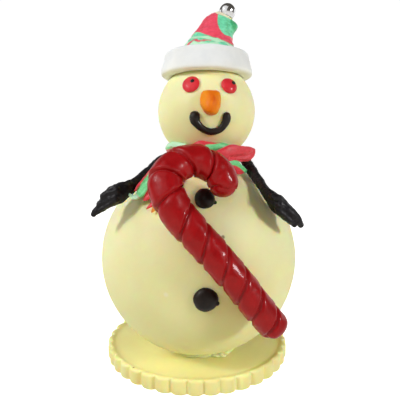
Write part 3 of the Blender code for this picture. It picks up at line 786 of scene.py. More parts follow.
# Where the hat's cream tip begins: above this line of x and z
CREAM_FLOOR_X = (6.0, 8.6, 10.5, 13.4, 16.4, 20.0)
CREAM_FLOOR_Z = (181.4, 179.9, 178.0, 177.2, 176.2, 176.0)
# The crease beside the fold, and the zigzag edge between green and red low on the hat's left
FOLD_CREASE = ((16.0, -17.0, 177.8), (16.6, -18.0, 175.4), (16.9, -17.8, 173.4), (18.6, -16.5, 171.6))
ZIGZAG = (
    (-6.4, -15.0, 160.6), (-4.6, -19.0, 162.4), (-3.2, -21.0, 163.6), (-1.2, -22.0, 165.0),
    (-0.2, -22.5, 164.3), (0.8, -23.0, 163.3), (3.1, -23.5, 163.6), (6.4, -24.0, 163.3),
)


# Lumps and hollows of the fold: middle, spread, height and direction
HAT_LUMPS = (
    ((18.8, -13.0, 173.7), (3.2, 6.0, 2.3), 2.6, (1.0, -0.3, 0.1)),
    ((17.2, -13.0, 169.4), (2.4, 5.0, 1.0), -0.5, (1.0, -0.3, 0.0)),
    ((15.6, -17.5, 172.4), (0.9, 5.0, 3.2), -1.1, (0.6, -0.8, 0.1)),
    ((18.4, -14.0, 176.9), (3.5, 6.0, 1.2), -0.7, (1.0, -0.3, 0.3)),
)
HAT_FOOT = 160.0


def above_red_floor(points):
    """How far each point is above the lower edge of the hat's red layer."""
    x, y, z = points.T
    return z - np.interp(x + 0.25 * (y + 20.0), RED_FLOOR_X, RED_FLOOR_Z)


def build_hat():
    """The leaning marbled hat, its folded lump and the pearl pressed into its tip."""
    sides = 132
    turns = np.linspace(0, 2 * PI, sides, endpoint=False)
    rows = smooth_rows(HAT_STATIONS, 10)
    rings = [
        np.stack([x + r * np.cos(turns), y + r * np.sin(turns), z + 0 * turns], -1)
        for x, y, z, r in rows
    ]
    mesh = loft("marbled_hat", rings)
    points = co_array(mesh)
    for lump in HAT_LUMPS:
        points = bump_at(points, *lump)
    x, y, z = points.T
    step = np.clip(above_red_floor(points) / 0.6 + 0.5, 0, 1) * 0.8
    away = points - np.stack([x * 0 + 8.0, y * 0 - 11.0, z], -1)
    set_points(mesh, points + unit(away) * step[:, None])
    crease(mesh, FOLD_CREASE, 0.8, 1.1)
    roughen(mesh, 4.0, 0.35, 11, 3)
    push_out(mesh, PEARL, PEARL_RADIUS + TOUCH)
    points = co_array(mesh)
    points[:, 2] = np.maximum(points[:, 2], HAT_FOOT)
    set_points(mesh, points)
    x, y, z = points.T
    fold = np.minimum(x + 0.10 * (y + 18.0) - np.interp(z, FOLD_LEFT_Z, FOLD_LEFT_X), z - 167.2)
    near_line = distance_to_run(points, ZIGZAG, 10)
    lower = np.minimum(-above_red_floor(points), near_line - 0.72)
    add_field(mesh, "green", np.maximum(lower, fold))
    streaks = np.sin(x * 0.55 + y * 0.4) * 0.5 + np.sin(z * 1.9 + x * 0.35) * 0.6
    add_field(mesh, "mint", np.minimum(lower - 0.2, streaks + 0.10))
    add_field(mesh, "cream", z - np.interp(x, CREAM_FLOOR_X, CREAM_FLOOR_Z))
    # Painted shade: a darker green lobe on the front of the fold, beside its crease
    lobe = np.hypot((x - 18.1 + 0.20 * (z - 174.0)) / 1.5, (z - 173.6) / 3.0)
    add_field(mesh, "accent", np.where(y < -12.0, 1.0 - lobe, NOWHERE) * 0.8)
    material = marbled_paste("hat_paste", 3.0, (1, 1, 1.8), 0.22, 0.8, HAT_COLORS)
    add_piece("marbled_hat", mesh, "hat", material)
    pearl = ellipsoid("sugar_pearl", PEARL, [PEARL_RADIUS] * 3, sides=64)
    add_piece("sugar_pearl", pearl, "silver_pearl", silver_sugar("pearl_silver"))


# ---------------------------------------------------------------- face

EYE_RISE = 0.15


def sugar_dome(name, direction, size, seed):
    """A domed drop that beds on the head."""
    aim = unit(direction)
    mesh = ellipsoid(name, HEAD + aim * (HEAD_RADIUS + EYE_RISE), size, aim, 72)
    roughen(mesh, max(size) * 0.9, 0.10, seed)
    return push_out(mesh, HEAD, HEAD_RADIUS + TOUCH)


LEFT_EYE = np.array([-0.300, -0.850, 0.430])
RIGHT_EYE = np.array([0.405, -0.817, 0.408])
LEFT_PUPIL = np.array([-0.256, -0.854, 0.453])
RIGHT_PUPIL = np.array([0.460, -0.775, 0.434])


def build_eyes():
    """Two glossy red sugar domes with small dark pupils."""
    red = glossy_sugar("eye_sugar", (0.72, 0.032, 0.048), (0.60, 0.018, 0.030), 0.33, 0.42, 21.0)
    dark = dark_chocolate("pupil_chocolate", 0.30, 0.3, 23.0)
    for side, eye, pupil, size, seed in (
        ("left", LEFT_EYE, LEFT_PUPIL, (4.15, 4.1, 1.75), 31),
        ("right", RIGHT_EYE, RIGHT_PUPIL, (3.9, 3.85, 1.75), 37),
    ):
        dome = sugar_dome("sugar_eye_" + side, eye, size, seed)
        add_piece("sugar_eye_" + side, dome, "eye_" + side, red)
        aim, look = unit(eye), unit(pupil)
        middle = HEAD + aim * (HEAD_RADIUS + EYE_RISE)
        slide = look * (HEAD_RADIUS + 1.5) - aim * (HEAD_RADIUS + EYE_RISE)
        slide = slide - aim * (slide @ aim)
        rise = size[2] * math.sqrt(max(0.05, 1 - (np.linalg.norm(slide) / size[0]) ** 2))
        drop = ellipsoid("pupil_dot_" + side, middle + slide + aim * rise, (0.95, 0.95, 0.35), look, 32)
        add_piece("pupil_dot_" + side, drop, "pupil_" + side, dark)


# The nose's outline seen from the front, round its middle. Its rings: y, shift in x and z, and scale
NOSE_MIDDLE = (6.25, 133.2)
NOSE_OUTLINE = (
    (-3.3, 5.2), (0.0, 5.4), (3.4, 5.1), (4.6, 3.4), (4.7, 0.5), (4.3, -2.2), (3.1, -4.6), (1.5, -5.5),
    (-0.4, -5.5), (-2.3, -4.5), (-3.9, -2.1), (-4.7, 0.3), (-4.3, 3.4),
)
NOSE_RINGS = (
    (-36.3, 0.0, 0.0, 0.97), (-37.8, 0.0, 0.0, 1.0), (-39.4, 0.0, -0.1, 0.98), (-41.0, 0.0, -0.5, 0.88),
    (-42.4, -0.1, -1.2, 0.70), (-43.4, -0.2, -1.9, 0.48), (-44.0, -0.3, -2.4, 0.26),
    (-44.3, -0.3, -2.7, 0.08),
)


# A hollow on each side of the nose and the ridge between them: middle, spread, height and direction
NOSE_LUMPS = (
    ((3.2, -42.0, 134.6), (1.7, 3.5, 4.0), -0.7, (-0.4, -1.0, 0.0)),
    ((9.2, -42.0, 134.2), (1.5, 3.5, 4.5), -0.5, (0.4, -1.0, 0.0)),
    ((6.8, -42.0, 134.0), (1.3, 3.5, 4.5), 0.35, (0.0, -1.0, 0.0)),
)


def build_nose():
    """A stubby squarish carrot nose that points forward and a little down, with a ridge."""
    outline = smooth_rows(NOSE_OUTLINE + NOSE_OUTLINE[:1], 6)[:-1]
    rings = [
        np.stack([
            NOSE_MIDDLE[0] + shift_x + outline[:, 0] * scale,
            outline[:, 0] * 0 + y,
            NOSE_MIDDLE[1] + shift_z + outline[:, 1] * scale,
        ], -1)
        for y, shift_x, shift_z, scale in smooth_rows(NOSE_RINGS, 6)
    ]
    mesh = loft("carrot_nose", rings)
    points = co_array(mesh)
    for lump in NOSE_LUMPS:
        points = bump_at(points, *lump)
    set_points(mesh, points)
    roughen(mesh, 2.6, 0.16, 41)
    push_out(mesh, HEAD, HEAD_RADIUS + TOUCH)
    points = co_array(mesh)
    # Painted rim light: points away from the ridge get a lighter, yellower orange, so the ridge stays darker
    # as painted shade
    ridge_x = np.interp(points[:, 2], (127.6, 131.5, 138.6), (4.6, 6.9, 7.4))
    painted_rim_light = np.clip((np.abs(points[:, 0] - ridge_x) - 1.0) / 2.6, 0, 1)
    add_field(mesh, "painted_rim_light", painted_rim_light)
    add_piece("carrot_nose", mesh, "nose", orange_paste("nose_paste"))


MOUTH_ROWS = (
    (-0.75, 127.5, 2.25), (-0.85, 126.6, 2.40), (-0.5, 125.1, 2.15), (1.3, 122.9, 1.75), (3.6, 121.2, 1.60),
    (6.6, 120.4, 1.50), (9.6, 120.9, 1.55), (11.9, 122.5, 1.65), (13.3, 124.7, 1.85), (13.8, 126.4, 1.95),
    (13.8, 127.5, 1.75),
)


def build_mouth():
    """A piped chocolate smile with a thicker drop at each end."""
    stations = []
    for x, z, radius in MOUTH_ROWS:
        reach = HEAD_RADIUS + 0.55
        depth = math.sqrt(reach ** 2 - (x - HEAD[0]) ** 2 - (z - HEAD[2]) ** 2)
        stations.append((x, HEAD[1] - depth, z, radius, radius * 0.95))
    mesh = roughen(sweep("piped_mouth", stations, HEAD, 40, 8), 3.0, 0.16, 51)
    push_out(mesh, HEAD, HEAD_RADIUS + TOUCH)
    material = dark_chocolate("mouth_chocolate", 0.34, 0.25, 53.0)
    add_piece("piped_mouth", mesh, "mouth", material)


# ---------------------------------------------------------------- buttons

UPPER_BUTTON = unit([0.054, -0.745, 0.676])
LOWER_BUTTON = unit([0.062, -0.988, -0.132])


def build_buttons():
    """Two piped drops, each with the short tail where the bag was pulled away."""
    material = dark_chocolate("button_chocolate", 0.40, 0.06, 61.0)
    for name, node, aim, size, tail_to, tail_size in (
        ("upper_button", "button_upper", UPPER_BUTTON, (4.45, 4.9, 4.1), (4.6, 0.0, -2.0), 0.9),
        ("lower_button", "button_lower", LOWER_BUTTON, (5.25, 5.25, 2.9), (4.9, 0.0, -1.6), 1.0),
    ):
        middle = BODY + aim * (BODY_RADIUS + 0.2)
        drop = ellipsoid(name, middle, size, aim, 72)
        tail_end = middle + np.array(tail_to)
        tail = sweep(
            name + "_tail",
            [(*(middle + aim * 1.2), 1.8, 1.3), (*((middle + tail_end) / 2 + aim * 0.8), 1.5, 1.2),
             (*(tail_end + aim * 0.3), tail_size, 0.8)],
            BODY, 24, 6,
        )
        mesh = fuse(name, [drop, tail], 0.22, 6)
        roughen(mesh, 4.5, 0.22, size[0])
        push_out(mesh, BODY, BODY_RADIUS + TOUCH)
        add_piece(name, mesh, node, material)


# ---------------------------------------------------------------- cane

CANE_STATIONS = (
    (11.3, -57.2, 96.4, 5.3),
    (11.2, -57.0, 98.6, 6.3),
    (8.9, -56.2, 102.8, 6.6),
    (5.7, -56.0, 105.3, 6.7),
    (1.0, -56.3, 107.4, 6.85),
    (-3.8, -58.0, 107.2, 6.9),
    (-8.9, -60.5, 104.7, 7.05),
    (-11.6, -63.5, 100.7, 7.2),
    (-11.8, -65.8, 97.0, 7.15),
    (-8.4, -67.6, 89.6, 7.05),
    (-2.5, -68.4, 81.9, 6.85),
    (5.4, -68.6, 73.2, 6.75),
    (14.5, -68.5, 62.6, 6.65),
    (23.0, -67.3, 51.6, 6.5),
    (31.2, -65.1, 41.0, 6.3),
)
# Where each groove starts on the lower left side and ends on the upper right side, along the cane
CANE_GROOVES = (
    (-7.0, -16.0), (2.5, -5.5), (13.1, 5.7), (25.6, 18.9), (34.9, 31.4), (44.4, 39.4), (58.7, 48.3),
    (70.9, 59.0), (83.2, 70.2), (92.9, 81.4), (102.0, 91.5), (110.7, 102.7), (119.7, 112.7),
    (129.2, 123.2),
)
CANE_GROOVE_DEPTH = 0.22
# The shares of a strand's width over which a groove opens and closes again
GROOVE_OPENING = 0.20
GROOVE_CLOSING_START = 0.86
GROOVE_CLOSING = 0.14
# The hook's end is smooth over up to this length, and rounded off by this share of its radius
CANE_SMOOTH_RUN = 7.8
CANE_END_BLUNT = 0.72
CANE_STRANDS = 2


def groove_runs(turn):
    """Where the grooves cross the line at one turn round the cane."""
    share = turn / PI
    left = np.array([row[0] for row in CANE_GROOVES])
    right = np.array([row[1] for row in CANE_GROOVES])
    if share <= 1:
        return left + (right - left) * share
    back = left[:-CANE_STRANDS]
    return right[CANE_STRANDS:] + (back - right[CANE_STRANDS:]) * (share - 1)


def build_cane():
    """The twisted cane: two strands wound together, bent into a hook."""
    rows = smooth_rows(CANE_STATIONS, 26)
    centres, radii = rows[:, :3], rows[:, 3]
    along = unit(np.gradient(centres, axis=0))
    outward = np.array([0.0, -1.0, 0.0]) - along * (along @ np.array([0.0, -1.0, 0.0]))[:, None]
    outward = unit(outward)
    across = np.cross(along, outward)
    run = np.r_[0, np.cumsum(np.linalg.norm(np.diff(centres, axis=0), axis=1))]
    sides = 96
    rings = np.zeros((len(rows), sides, 3))
    for side in range(sides):
        turn = 2 * PI * side / sides
        marks = groove_runs(turn)
        between = np.clip(np.searchsorted(marks, run) - 1, 0, len(marks) - 2)
        share = np.clip((run - marks[between]) / (marks[between + 1] - marks[between]), 0, 1)
        opening = np.clip(1 - share / GROOVE_OPENING, 0, 1) ** 1.6
        closing = np.clip((share - GROOVE_CLOSING_START) / GROOVE_CLOSING, 0, 1) ** 2.2
        start = CANE_SMOOTH_RUN * (1 + math.cos(turn)) / 2
        fade = np.clip((run - start) / 0.8, 0, 1)
        depth = (CANE_GROOVE_DEPTH * np.maximum(opening, closing) + 0.035 * (1 - share)) * fade
        bulge = 1.01 - depth
        reach = (radii * bulge)[:, None]
        rings[:, side] = centres + (across * math.cos(turn) + outward * math.sin(turn)) * reach
    rings = np.concatenate([end_rings(rings, 0, 3, 9, CANE_END_BLUNT), rings, end_rings(rings, -1, -4, 9)])
    mesh = roughen(loft("twisted_cane", rings), 7.0, 0.28, 71, 3)
    push_out(mesh, BODY, BODY_RADIUS + TOUCH)
    material = glossy_sugar("cane_sugar", (0.37, 0.0040, 0.0065), (0.28, 0.0025, 0.0042), 0.33, 0.22, 73.0)
    add_piece("twisted_cane", mesh, "candy_cane", material)


# ---------------------------------------------------------------- arms

# A point far behind the figure, so that the arms turn their flat side to the front
FAR_BEHIND = (0.0, 3000.0, 90.0)
LEFT_ARM = (
    (-16.6, -24.0, 108.2, 2.0, 2.4), (-19.2, -27.0, 105.6, 2.3, 2.6), (-21.8, -30.5, 102.4, 2.5, 2.8),
    (-24.7, -34.0, 99.5, 2.7, 3.0), (-27.3, -37.4, 97.2, 2.9, 3.2), (-30.0, -40.6, 95.4, 3.2, 3.4),
    (-32.9, -43.4, 93.8, 4.1, 5.0), (-36.1, -44.4, 92.2, 4.5, 5.2), (-38.8, -44.3, 90.4, 3.9, 4.4),
)
LEFT_FINGERS = (
    ((-34.3, -47.0, 94.4, 2.2, 3.2), (-37.8, -46.5, 93.3, 2.2, 2.9), (-40.7, -46.5, 91.8, 1.6, 2.1)),
    ((-35.6, -47.0, 91.9, 2.2, 3.4), (-39.5, -46.5, 90.1, 2.2, 3.0), (-42.5, -46.5, 88.4, 1.5, 2.1)),
    ((-35.3, -47.0, 90.7, 2.1, 3.3), (-39.9, -46.5, 88.1, 2.1, 2.9), (-43.3, -46.5, 85.9, 1.8, 2.3),
     (-45.4, -46.5, 83.9, 1.2, 1.5)),
)
RIGHT_ARM = (
    (24.3, -17.8, 106.9, 2.3, 2.4), (25.5, -23.3, 104.4, 2.7, 2.6), (27.3, -30.2, 100.7, 2.5, 2.8),
    (29.4, -35.8, 96.9, 2.3, 3.0), (31.4, -40.8, 93.4, 2.2, 3.8), (34.0, -44.6, 90.3, 3.3, 5.4),
    (37.0, -45.2, 87.2, 3.8, 5.6), (40.2, -44.8, 84.4, 3.5, 4.6),
)
RIGHT_FINGERS = (
    ((32.6, -49.5, 92.0, 1.4, 2.7), (35.5, -49.0, 91.1, 1.9, 2.9), (38.1, -48.5, 89.1, 1.8, 2.3)),
    ((36.2, -49.5, 88.4, 2.3, 3.3), (40.7, -49.0, 85.1, 2.3, 3.1), (44.3, -48.0, 81.6, 2.1, 2.3),
     (46.0, -47.5, 79.3, 1.3, 1.5)),
    ((35.8, -49.5, 86.4, 2.0, 3.1), (39.4, -49.0, 83.1, 2.0, 2.7), (43.1, -48.0, 79.6, 1.1, 1.7)),
)
# Runs of the grooves between the fingers, on the front of each hand
LEFT_KNUCKLES = (
    ((-34.4, -51.0, 93.7), (-37.4, -50.2, 92.1), (-41.3, -49.0, 90.4)),
    ((-35.1, -51.0, 91.6), (-39.0, -50.2, 89.4), (-42.8, -49.0, 87.1)),
    ((-31.4, -50.2, 96.1), (-32.4, -50.4, 94.0), (-32.0, -50.2, 91.7)),
)
RIGHT_KNUCKLES = (
    ((34.1, -53.0, 90.9), (36.6, -53.0, 89.6), (38.5, -52.0, 87.3)),
    ((37.0, -53.0, 86.7), (39.8, -52.5, 84.0), (43.5, -51.0, 80.6)),
)


def build_arms():
    """Two cast arms with mitten hands, laid against the body."""
    material = dark_chocolate("arm_chocolate", 0.40, 0.08, 81.0, COLD_DARK)
    for name, node, arm, fingers, knuckles, seed in (
        ("cast_arm_left", "arm_left", LEFT_ARM, LEFT_FINGERS, LEFT_KNUCKLES, 83),
        ("cast_arm_right", "arm_right", RIGHT_ARM, RIGHT_FINGERS, RIGHT_KNUCKLES, 89),
    ):
        pieces = [sweep(name, arm, FAR_BEHIND, 32, 7)]
        pieces += [sweep(name, finger, FAR_BEHIND, 24, 7) for finger in fingers]
        mesh = fuse(name, pieces, 0.26, 4)
        for run in knuckles:
            crease(mesh, run, 0.9, 0.8)
        roughen(mesh, 2.6, 0.34, seed, 3)
        push_out(mesh, BODY, BODY_RADIUS + TOUCH)
        add_piece(name, mesh, node, material)


# ---------------------------------------------------------------- scarf

# The wrap's section: radius round the head's axis and height
WRAP_SECTION = (
    (18.6, 114.9), (20.0, 114.7), (20.9, 113.4), (20.6, 111.6), (18.8, 109.9), (16.6, 107.8), (14.6, 106.1),
    (12.6, 107.1), (13.2, 109.2), (15.4, 111.8), (17.3, 113.8),
)
# The section's part between these two heights follows the wrap's top edge
WRAP_LOW = 107.5
WRAP_HIGH = 114.9
# Turn round the head in degrees, with 270 at the front: height of the wrap's top edge, and extra radius
WRAP_TOP = (
    (0, 113.4, 0.0), (45, 114.4, 0.0), (90, 115.0, 0.0), (135, 114.8, 0.0), (180, 114.9, 0.0),
    (200, 115.6, 0.2), (215, 116.3, 0.5), (230, 115.7, 0.5), (240, 114.9, 0.3), (247, 114.6, 0.3),
    (253, 115.4, 0.4), (259, 116.5, 0.6), (265, 116.6, 0.6), (273, 115.9, 0.4), (284, 115.6, 0.4),
    (296, 115.4, 0.2), (305, 114.6, 0.0), (316, 113.6, 0.0), (340, 113.2, 0.0), (360, 113.4, 0.0),
)


def round_head(turn_degrees, radius, height):
    """A point at a turn round the head's axis."""
    turn = math.radians(turn_degrees)
    return (HEAD[0] + radius * math.cos(turn), HEAD[1] + radius * math.sin(turn), height)


def head_run(color, half_width, stops):
    """A painted strand through stops of turn and height on the wrap's outer side."""
    return (color, half_width, [round_head(turn, 20.6, height) for turn, height in stops])


WRAP_STRANDS = (
    head_run("mint", 1.0, ((172, 113.8), (186, 114.4), (202, 115.2), (218, 115.4), (236, 114.8))),
    head_run("green", 0.4, ((176, 112.3), (190, 112.5), (205, 112.9), (218, 113.0))),
    head_run("red", 1.5, ((178, 110.2), (200, 110.8), (225, 111.4), (245, 112.0))),
    head_run("red", 0.7, ((249, 115.4), (258, 116.0), (266, 116.0), (274, 115.6), (288, 115.9))),
    head_run("red", 1.2, ((250, 112.0), (258, 112.5), (262, 113.6))),
    head_run("green", 2.1, ((275, 112.6), (283, 112.9), (292, 113.6), (300, 113.9))),
    head_run("red", 1.2, ((318, 112.0), (340, 111.5), (5, 112.0), (30, 113.0), (60, 113.4), (85, 112.4))),
    head_run("green", 1.2, ((40, 110.4), (70, 109.8), (95, 110.8), (120, 112.6), (150, 113.4))),
    head_run("cream", 0.2, ((100, 113.6), (125, 110.8), (150, 110.4))),
    head_run("red", 1.0, ((110, 108.4), (135, 108.8), (160, 111.0))),
)


def build_wrap():
    """The band round the neck, bedded in the crease between the head and the body."""
    section = smooth_rows(WRAP_SECTION + WRAP_SECTION[:1], 5)[:-1]
    count = 200
    turn_stops, tops, swells = zip(*WRAP_TOP)
    share = np.clip((section[:, 1] - WRAP_LOW) / (WRAP_HIGH - WRAP_LOW), 0, 1)
    rings = np.zeros((count, len(section), 3))
    for index in range(count):
        degrees = 360 * index / count
        turn = math.radians(degrees)
        lift = np.interp(degrees, turn_stops, tops) - WRAP_HIGH
        radius = section[:, 0] + np.interp(degrees, turn_stops, swells) * share
        rings[index, :, 0] = HEAD[0] + radius * math.cos(turn)
        rings[index, :, 1] = HEAD[1] + radius * math.sin(turn)
        rings[index, :, 2] = section[:, 1] + lift * share
    mesh = loft("neck_scarf", rings, joined=True)
    roughen(mesh, 4.5, 0.30, 91, 3)
    push_out(mesh, HEAD, HEAD_RADIUS + TOUCH)
    push_out(mesh, BODY, BODY_RADIUS + TOUCH)
    paint(mesh, WRAP_STRANDS)
    material = marbled_paste("wrap_paste", 5.0, (1, 1, 2.0), 0.22)
    add_piece("neck_scarf", mesh, "scarf_wrap", material)


# The flap: upper edge, lower edge and half thickness, from behind the cane to its tip
FLAP_ROWS = (
    (3.9, -38.6, 109.4, 3.9, -38.6, 106.3, 1.4),
    (7.6, -39.3, 110.9, 8.4, -38.6, 106.6, 1.7),
    (11.4, -38.9, 112.9, 12.4, -38.0, 106.6, 1.7),
    (15.6, -36.9, 114.5, 16.2, -35.7, 106.8, 1.7),
    (20.9, -32.9, 114.1, 20.4, -31.9, 106.6, 1.8),
    (25.2, -29.0, 113.7, 24.2, -28.6, 106.8, 1.9),
    (27.0, -27.2, 113.2, 26.0, -27.0, 108.2, 1.7),
)
KNOT_MIDDLE = (1.0, -42.6, 106.2)
KNOT_SIZE = (9.0, 6.2, 4.0)
RIGHT_END_ROWS = (
    (11.0, -37.2, 107.6, 11.0, -37.0, 102.6, 1.0),
    (15.2, -36.4, 107.5, 15.6, -36.0, 102.4, 1.1),
    (18.6, -34.4, 107.2, 18.2, -34.0, 101.0, 1.1),
    (21.4, -31.4, 105.0, 20.4, -31.6, 100.6, 1.0),
    (24.0, -28.6, 103.0, 22.8, -29.0, 101.3, 0.8),
    (25.3, -27.0, 102.0, 24.9, -27.0, 101.4, 0.4),
)
RIGHT_END_STRANDS = (
    ("green", 0.9, ((11.0, -37.4, 107.0), (15.4, -36.6, 106.9), (18.8, -34.8, 106.4), (21.4, -31.8, 104.4),
                    (24.0, -28.8, 102.6))),
    ("mint", 0.2, ((21.0, -32.0, 105.2), (22.8, -30.0, 104.0), (24.2, -28.4, 102.9), (25.1, -26.9, 102.0))),
    ("red", 1.3, ((11.0, -37.4, 103.4), (15.9, -36.6, 103.4), (18.4, -34.6, 102.4), (20.6, -31.8, 101.4))),
)
# The left end's strands: x, y, z, half width and half thickness
RED_EDGE = (
    (-13.0, -37.5, 107.0, 1.7, 1.3), (-20.1, -39.4, 102.2, 1.6, 1.2), (-22.3, -40.0, 99.6, 1.5, 1.2),
    (-24.3, -42.6, 97.3, 1.3, 1.0), (-25.9, -44.2, 95.5, 0.9, 0.8), (-26.9, -45.2, 94.3, 0.5, 0.5),
)
GREEN_BAND = (
    (-13.0, -39.0, 104.5, 3.6, 1.3), (-18.2, -40.8, 101.4, 3.8, 1.3), (-20.5, -42.2, 98.6, 3.8, 1.2),
    (-22.7, -44.4, 95.8, 3.4, 1.1), (-24.4, -45.6, 93.2, 2.7, 1.0), (-26.1, -46.4, 91.8, 1.7, 0.8),
    (-27.8, -46.6, 91.6, 1.1, 0.6), (-29.1, -46.4, 92.4, 0.7, 0.5), (-29.9, -46.0, 93.2, 0.3, 0.3),
)
FIRST_FINGER = (
    (-13.5, -43.6, 98.8, 2.4, 1.2), (-18.6, -46.0, 94.8, 2.2, 1.2), (-20.5, -46.4, 92.6, 1.8, 1.1),
    (-22.0, -46.8, 91.0, 1.2, 0.9), (-23.0, -46.8, 90.2, 0.4, 0.4),
)
SECOND_FINGER = (
    (-12.0, -47.5, 94.5, 2.3, 1.2), (-16.5, -49.5, 90.8, 1.9, 1.1), (-18.3, -50.0, 89.1, 1.3, 0.9),
    (-20.1, -50.4, 87.8, 0.8, 0.6), (-21.4, -50.4, 86.8, 0.3, 0.3),
)
THIRD_FINGER = (
    (-12.5, -49.8, 92.0, 1.8, 1.1), (-16.4, -51.0, 88.9, 1.6, 1.0), (-17.9, -51.4, 87.3, 1.0, 0.8),
    (-19.0, -51.4, 85.6, 0.4, 0.4),
)
# What joins the band and the fingers behind the cane
HIDDEN_ROOT = (
    (-12.0, -39.5, 104.0, 4.0, 1.5), (-12.0, -43.6, 98.8, 3.8, 1.5), (-12.0, -47.8, 94.0, 3.4, 1.4),
)
LEFT_END_STRANDS = (
    ("red", 1.0, [row[:3] for row in RED_EDGE]),
    ("green", 2.3, [row[:3] for row in GREEN_BAND[:5]]),
    ("mint", 1.2, [row[:3] for row in GREEN_BAND[5:]]),
    ("cream", 0.30, (
        (-21.5, -42.8, 100.2), (-23.9, -43.6, 97.0), (-26.0, -44.6, 94.6), (-27.2, -44.8, 93.2),
    )),
    ("red", 1.4, [row[:3] for row in FIRST_FINGER]),
    ("cream", 0.3, ((-17.0, -48.2, 93.0), (-19.0, -48.6, 91.2), (-20.6, -48.8, 89.8))),
    ("red", 1.1, [row[:3] for row in SECOND_FINGER]),
    ("accent", 0.9, [row[:3] for row in THIRD_FINGER]),
)


# Runs of the creases along the left band, and of the folds on the flap and on the right end
BAND_CREASES = (
    ((-19.8, -43.4, 101.4), (-22.0, -44.2, 98.6), (-24.4, -45.2, 95.6), (-26.2, -45.8, 93.6)),
    ((-18.4, -43.6, 98.8), (-20.6, -44.6, 96.2), (-22.4, -45.4, 93.6)),
)
LONG_FOLD = ((16.0, -38.0, 108.4), (20.0, -34.6, 108.8), (23.6, -31.2, 109.6), (26.2, -28.6, 110.8))
SHORT_FOLD = ((19.6, -34.8, 107.4), (22.4, -31.6, 107.2), (24.6, -29.6, 107.8))
END_FOLD = ((12.0, -38.2, 105.2), (16.2, -37.0, 105.2), (19.4, -34.6, 104.2), (22.6, -31.0, 102.6))


def build_tails():
    """The scarf's loose ends: a fringed one on the left, a folded flap and a short end on the right."""
    strands = (RED_EDGE, GREEN_BAND, FIRST_FINGER, SECOND_FINGER, THIRD_FINGER, HIDDEN_ROOT)
    pieces = [sweep("strand", strand, BODY, 28, 8, 2.6) for strand in strands]
    mesh = fuse("fringed_end", pieces, 0.18, 2)
    for run in BAND_CREASES:
        crease(mesh, run, 0.35, 0.5)
    roughen(mesh, 3.0, 0.14, 101, 3)
    push_out(mesh, BODY, BODY_RADIUS + TOUCH)
    paint(mesh, LEFT_END_STRANDS)
    tail_paste = marbled_paste("fringed_paste", 9.0, (1, 1, 1), 0.2, 0.7)
    add_piece("fringed_end", mesh, "scarf_tail_left", tail_paste)

    knot = ellipsoid("knot", KNOT_MIDDLE, KNOT_SIZE, (0, 0, 1), 40)
    flap = fuse("folded_flap", [ribbon("flap", FLAP_ROWS), knot], 0.26, 3)
    crease(flap, LONG_FOLD, 1.1, 1.3)
    crease(flap, SHORT_FOLD, 0.7, 0.9)
    roughen(flap, 4.4, 0.22, 103, 3)
    push_out(flap, BODY, BODY_RADIUS + TOUCH)
    paint(flap, (("red", 1.0, ((3.9, -39.6, 109.0), (28.0, -27.5, 110.5))),))
    flap_paste = marbled_paste("flap_paste", 13.0, (1, 1, 2.0), 0.2, 0.6)
    add_piece("folded_flap", flap, "scarf_flap", flap_paste)

    tail = ribbon("short_end", RIGHT_END_ROWS)
    crease(tail, END_FOLD, 0.5, 0.9)
    roughen(tail, 3.5, 0.20, 107, 3)
    push_out(tail, BODY, BODY_RADIUS + TOUCH)
    paint(tail, RIGHT_END_STRANDS)
    short_paste = marbled_paste("short_paste", 17.0, (1, 1, 1), 0.2, 0.7)
    add_piece("short_end", tail, "scarf_tail_right", short_paste)


# ---------------------------------------------------------------- studio

def add_area_light(name, place, target, size, power, glossy=True):
    """A square soft lamp aimed at a point, both in millimetres."""
    lamp = bpy.data.lights.new(name, "AREA")
    lamp.shape = "SQUARE"
    lamp.size = size * MM
    lamp.energy = power
    holder = link(name, lamp)
    holder.location = Vector(place) * MM
    holder.rotation_euler = (Vector(target) - Vector(place)).to_track_quat("-Z", "Y").to_euler()
    holder.visible_glossy = glossy


def square(name, half):
    """A flat square, with half its side in metres."""
    mesh = bpy.data.meshes.new(name)
    corners = [(-half, -half, 0), (half, -half, 0), (half, half, 0), (-half, half, 0)]
    mesh.from_pydata(corners, [], [(0, 1, 2, 3)])
    return mesh


def white_glow(name, strength):
    """A material that only gives off white light."""
    material, _, shader = new_material(name)
    set_inputs(shader, {
        "Base Color": (0, 0, 0, 1),
        "Emission Color": (1, 1, 1, 1),
        "Emission Strength": strength,
    })
    return material


def add_card(name, place, target, size, glow):
    """A white card that only shows in reflections."""
    mesh = square(name, size / 2 * MM)
    card = link(name, mesh)
    card.location = Vector(place) * MM
    card.rotation_euler = (Vector(target) - Vector(place)).to_track_quat("Z", "Y").to_euler()
    mesh.materials.append(white_glow(name, glow))
    card.visible_camera = False
    card.visible_diffuse = False
    card.visible_shadow = False


# Light given back by the pale floor and by the room, relative to white
FLOOR_GLOW = (0.92, 0.83, 0.48)
ROOM_GLOW = (0.095, 0.085, 0.075)


# Half the floor's side in metres, and the backdrop's radius in millimetres
FLOOR_REACH = 12.0
BACKDROP_RADIUS = 8000


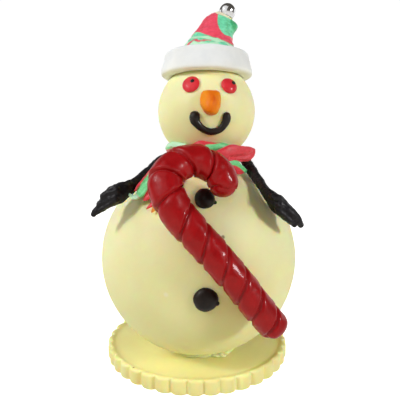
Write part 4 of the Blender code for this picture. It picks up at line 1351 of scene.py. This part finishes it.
def build_studio():
    """The camera, four soft lamps, reflecting cards, a surround, a pale floor and a white backdrop."""
    camera = bpy.data.cameras.new("camera")
    camera.sensor_width = 36.0
    camera.lens = camera.sensor_width * FOCAL_PIXELS / FRAME_PIXELS
    camera.clip_start = 0.01
    camera.clip_end = 20.0
    holder = link("camera", camera)
    holder.location = Vector(CAMERA_PLACE) * MM
    holder.rotation_euler = (math.radians(90 - CAMERA_PITCH_DEGREES), 0, 0)
    bpy.context.scene.camera = holder
    bpy.context.scene.view_settings.view_transform = "Standard"

    world = bpy.data.worlds.new("surround")
    world.use_nodes = True
    tree = world.node_tree
    direction = tree.nodes.new("ShaderNodeTexCoord")
    parts = tree.nodes.new("ShaderNodeSeparateXYZ")
    tree.links.new(direction.outputs["Generated"], parts.inputs[0])
    sky = ramp_node(tree, range_node(tree, parts.outputs["Z"], -0.30, 0.0, 0.0, 1.0), (
        (0.0, FLOOR_GLOW),
        (1.0, ROOM_GLOW),
    ))
    rays = tree.nodes.new("ShaderNodeLightPath")
    mirrored = ramp_node(tree, range_node(tree, parts.outputs["Z"], -0.25, 0.05, 0.0, 1.0), (
        (0.0, (1.0, 0.98, 0.94)),
        (1.0, ROOM_GLOW),
    ))
    sky = mix_node(tree, rays.outputs["Is Glossy Ray"], sky, mirrored)
    tree.links.new(sky, tree.nodes["Background"].inputs["Color"])
    bpy.context.scene.world = world

    middle = (0, -13, 90)
    add_area_light("left_lamp", (-760, -500, 650), middle, 230, 6.3)
    add_area_light("right_lamp", (900, -600, 430), middle, 220, 6.7)
    add_area_light("back_left_lamp", (-760, 330, 640), (0, -13, 40), 420, 2.6, glossy=False)
    add_area_light("front_fill", (-60, -820, 430), middle, 500, 1.0, glossy=False)

    floor_mesh = square("floor", FLOOR_REACH)
    floor = link("floor", floor_mesh)
    material, tree, shader = new_material("pale_floor")
    speckle = noise_node(tree, 40.0, 2.0)
    speckle = ramp_node(tree, speckle, ((0.3, (0.90, 0.90, 0.90)), (0.7, (0.92, 0.92, 0.92))))
    color_surface(tree, shader, speckle)
    set_inputs(shader, {
        "Roughness": 0.9,
        "Emission Color": (1, 1, 1, 1),
        "Emission Strength": 0.95,
    })
    floor_mesh.materials.append(material)
    floor.visible_diffuse = False
    floor.visible_glossy = False

    add_card("left_card", (-430, -400, 540), (0, -13, 150), 1080, 0.9)
    add_card("right_card", (480, -420, 60), (0, -13, 110), 260, 0.8)
    add_card("back_left_card", (-620, 520, 150), (0, -13, 90), 800, 1.0)
    add_card("back_right_card", (620, 520, 150), (0, -13, 90), 800, 1.0)

    dome_mesh = ellipsoid("backdrop", (0, 0, 0), [BACKDROP_RADIUS] * 3)
    dome = link("backdrop", dome_mesh)
    dome_mesh.materials.append(white_glow("white_backdrop", 1.0))
    dome.visible_diffuse = False
    dome.visible_glossy = False
    dome.visible_transmission = False
    dome.visible_shadow = False


build_studio()
build_disc()
build_join()
build_balls()
build_band()
build_hat()
build_eyes()
build_nose()
build_mouth()
build_buttons()
build_cane()
build_arms()
build_wrap()
build_tails()
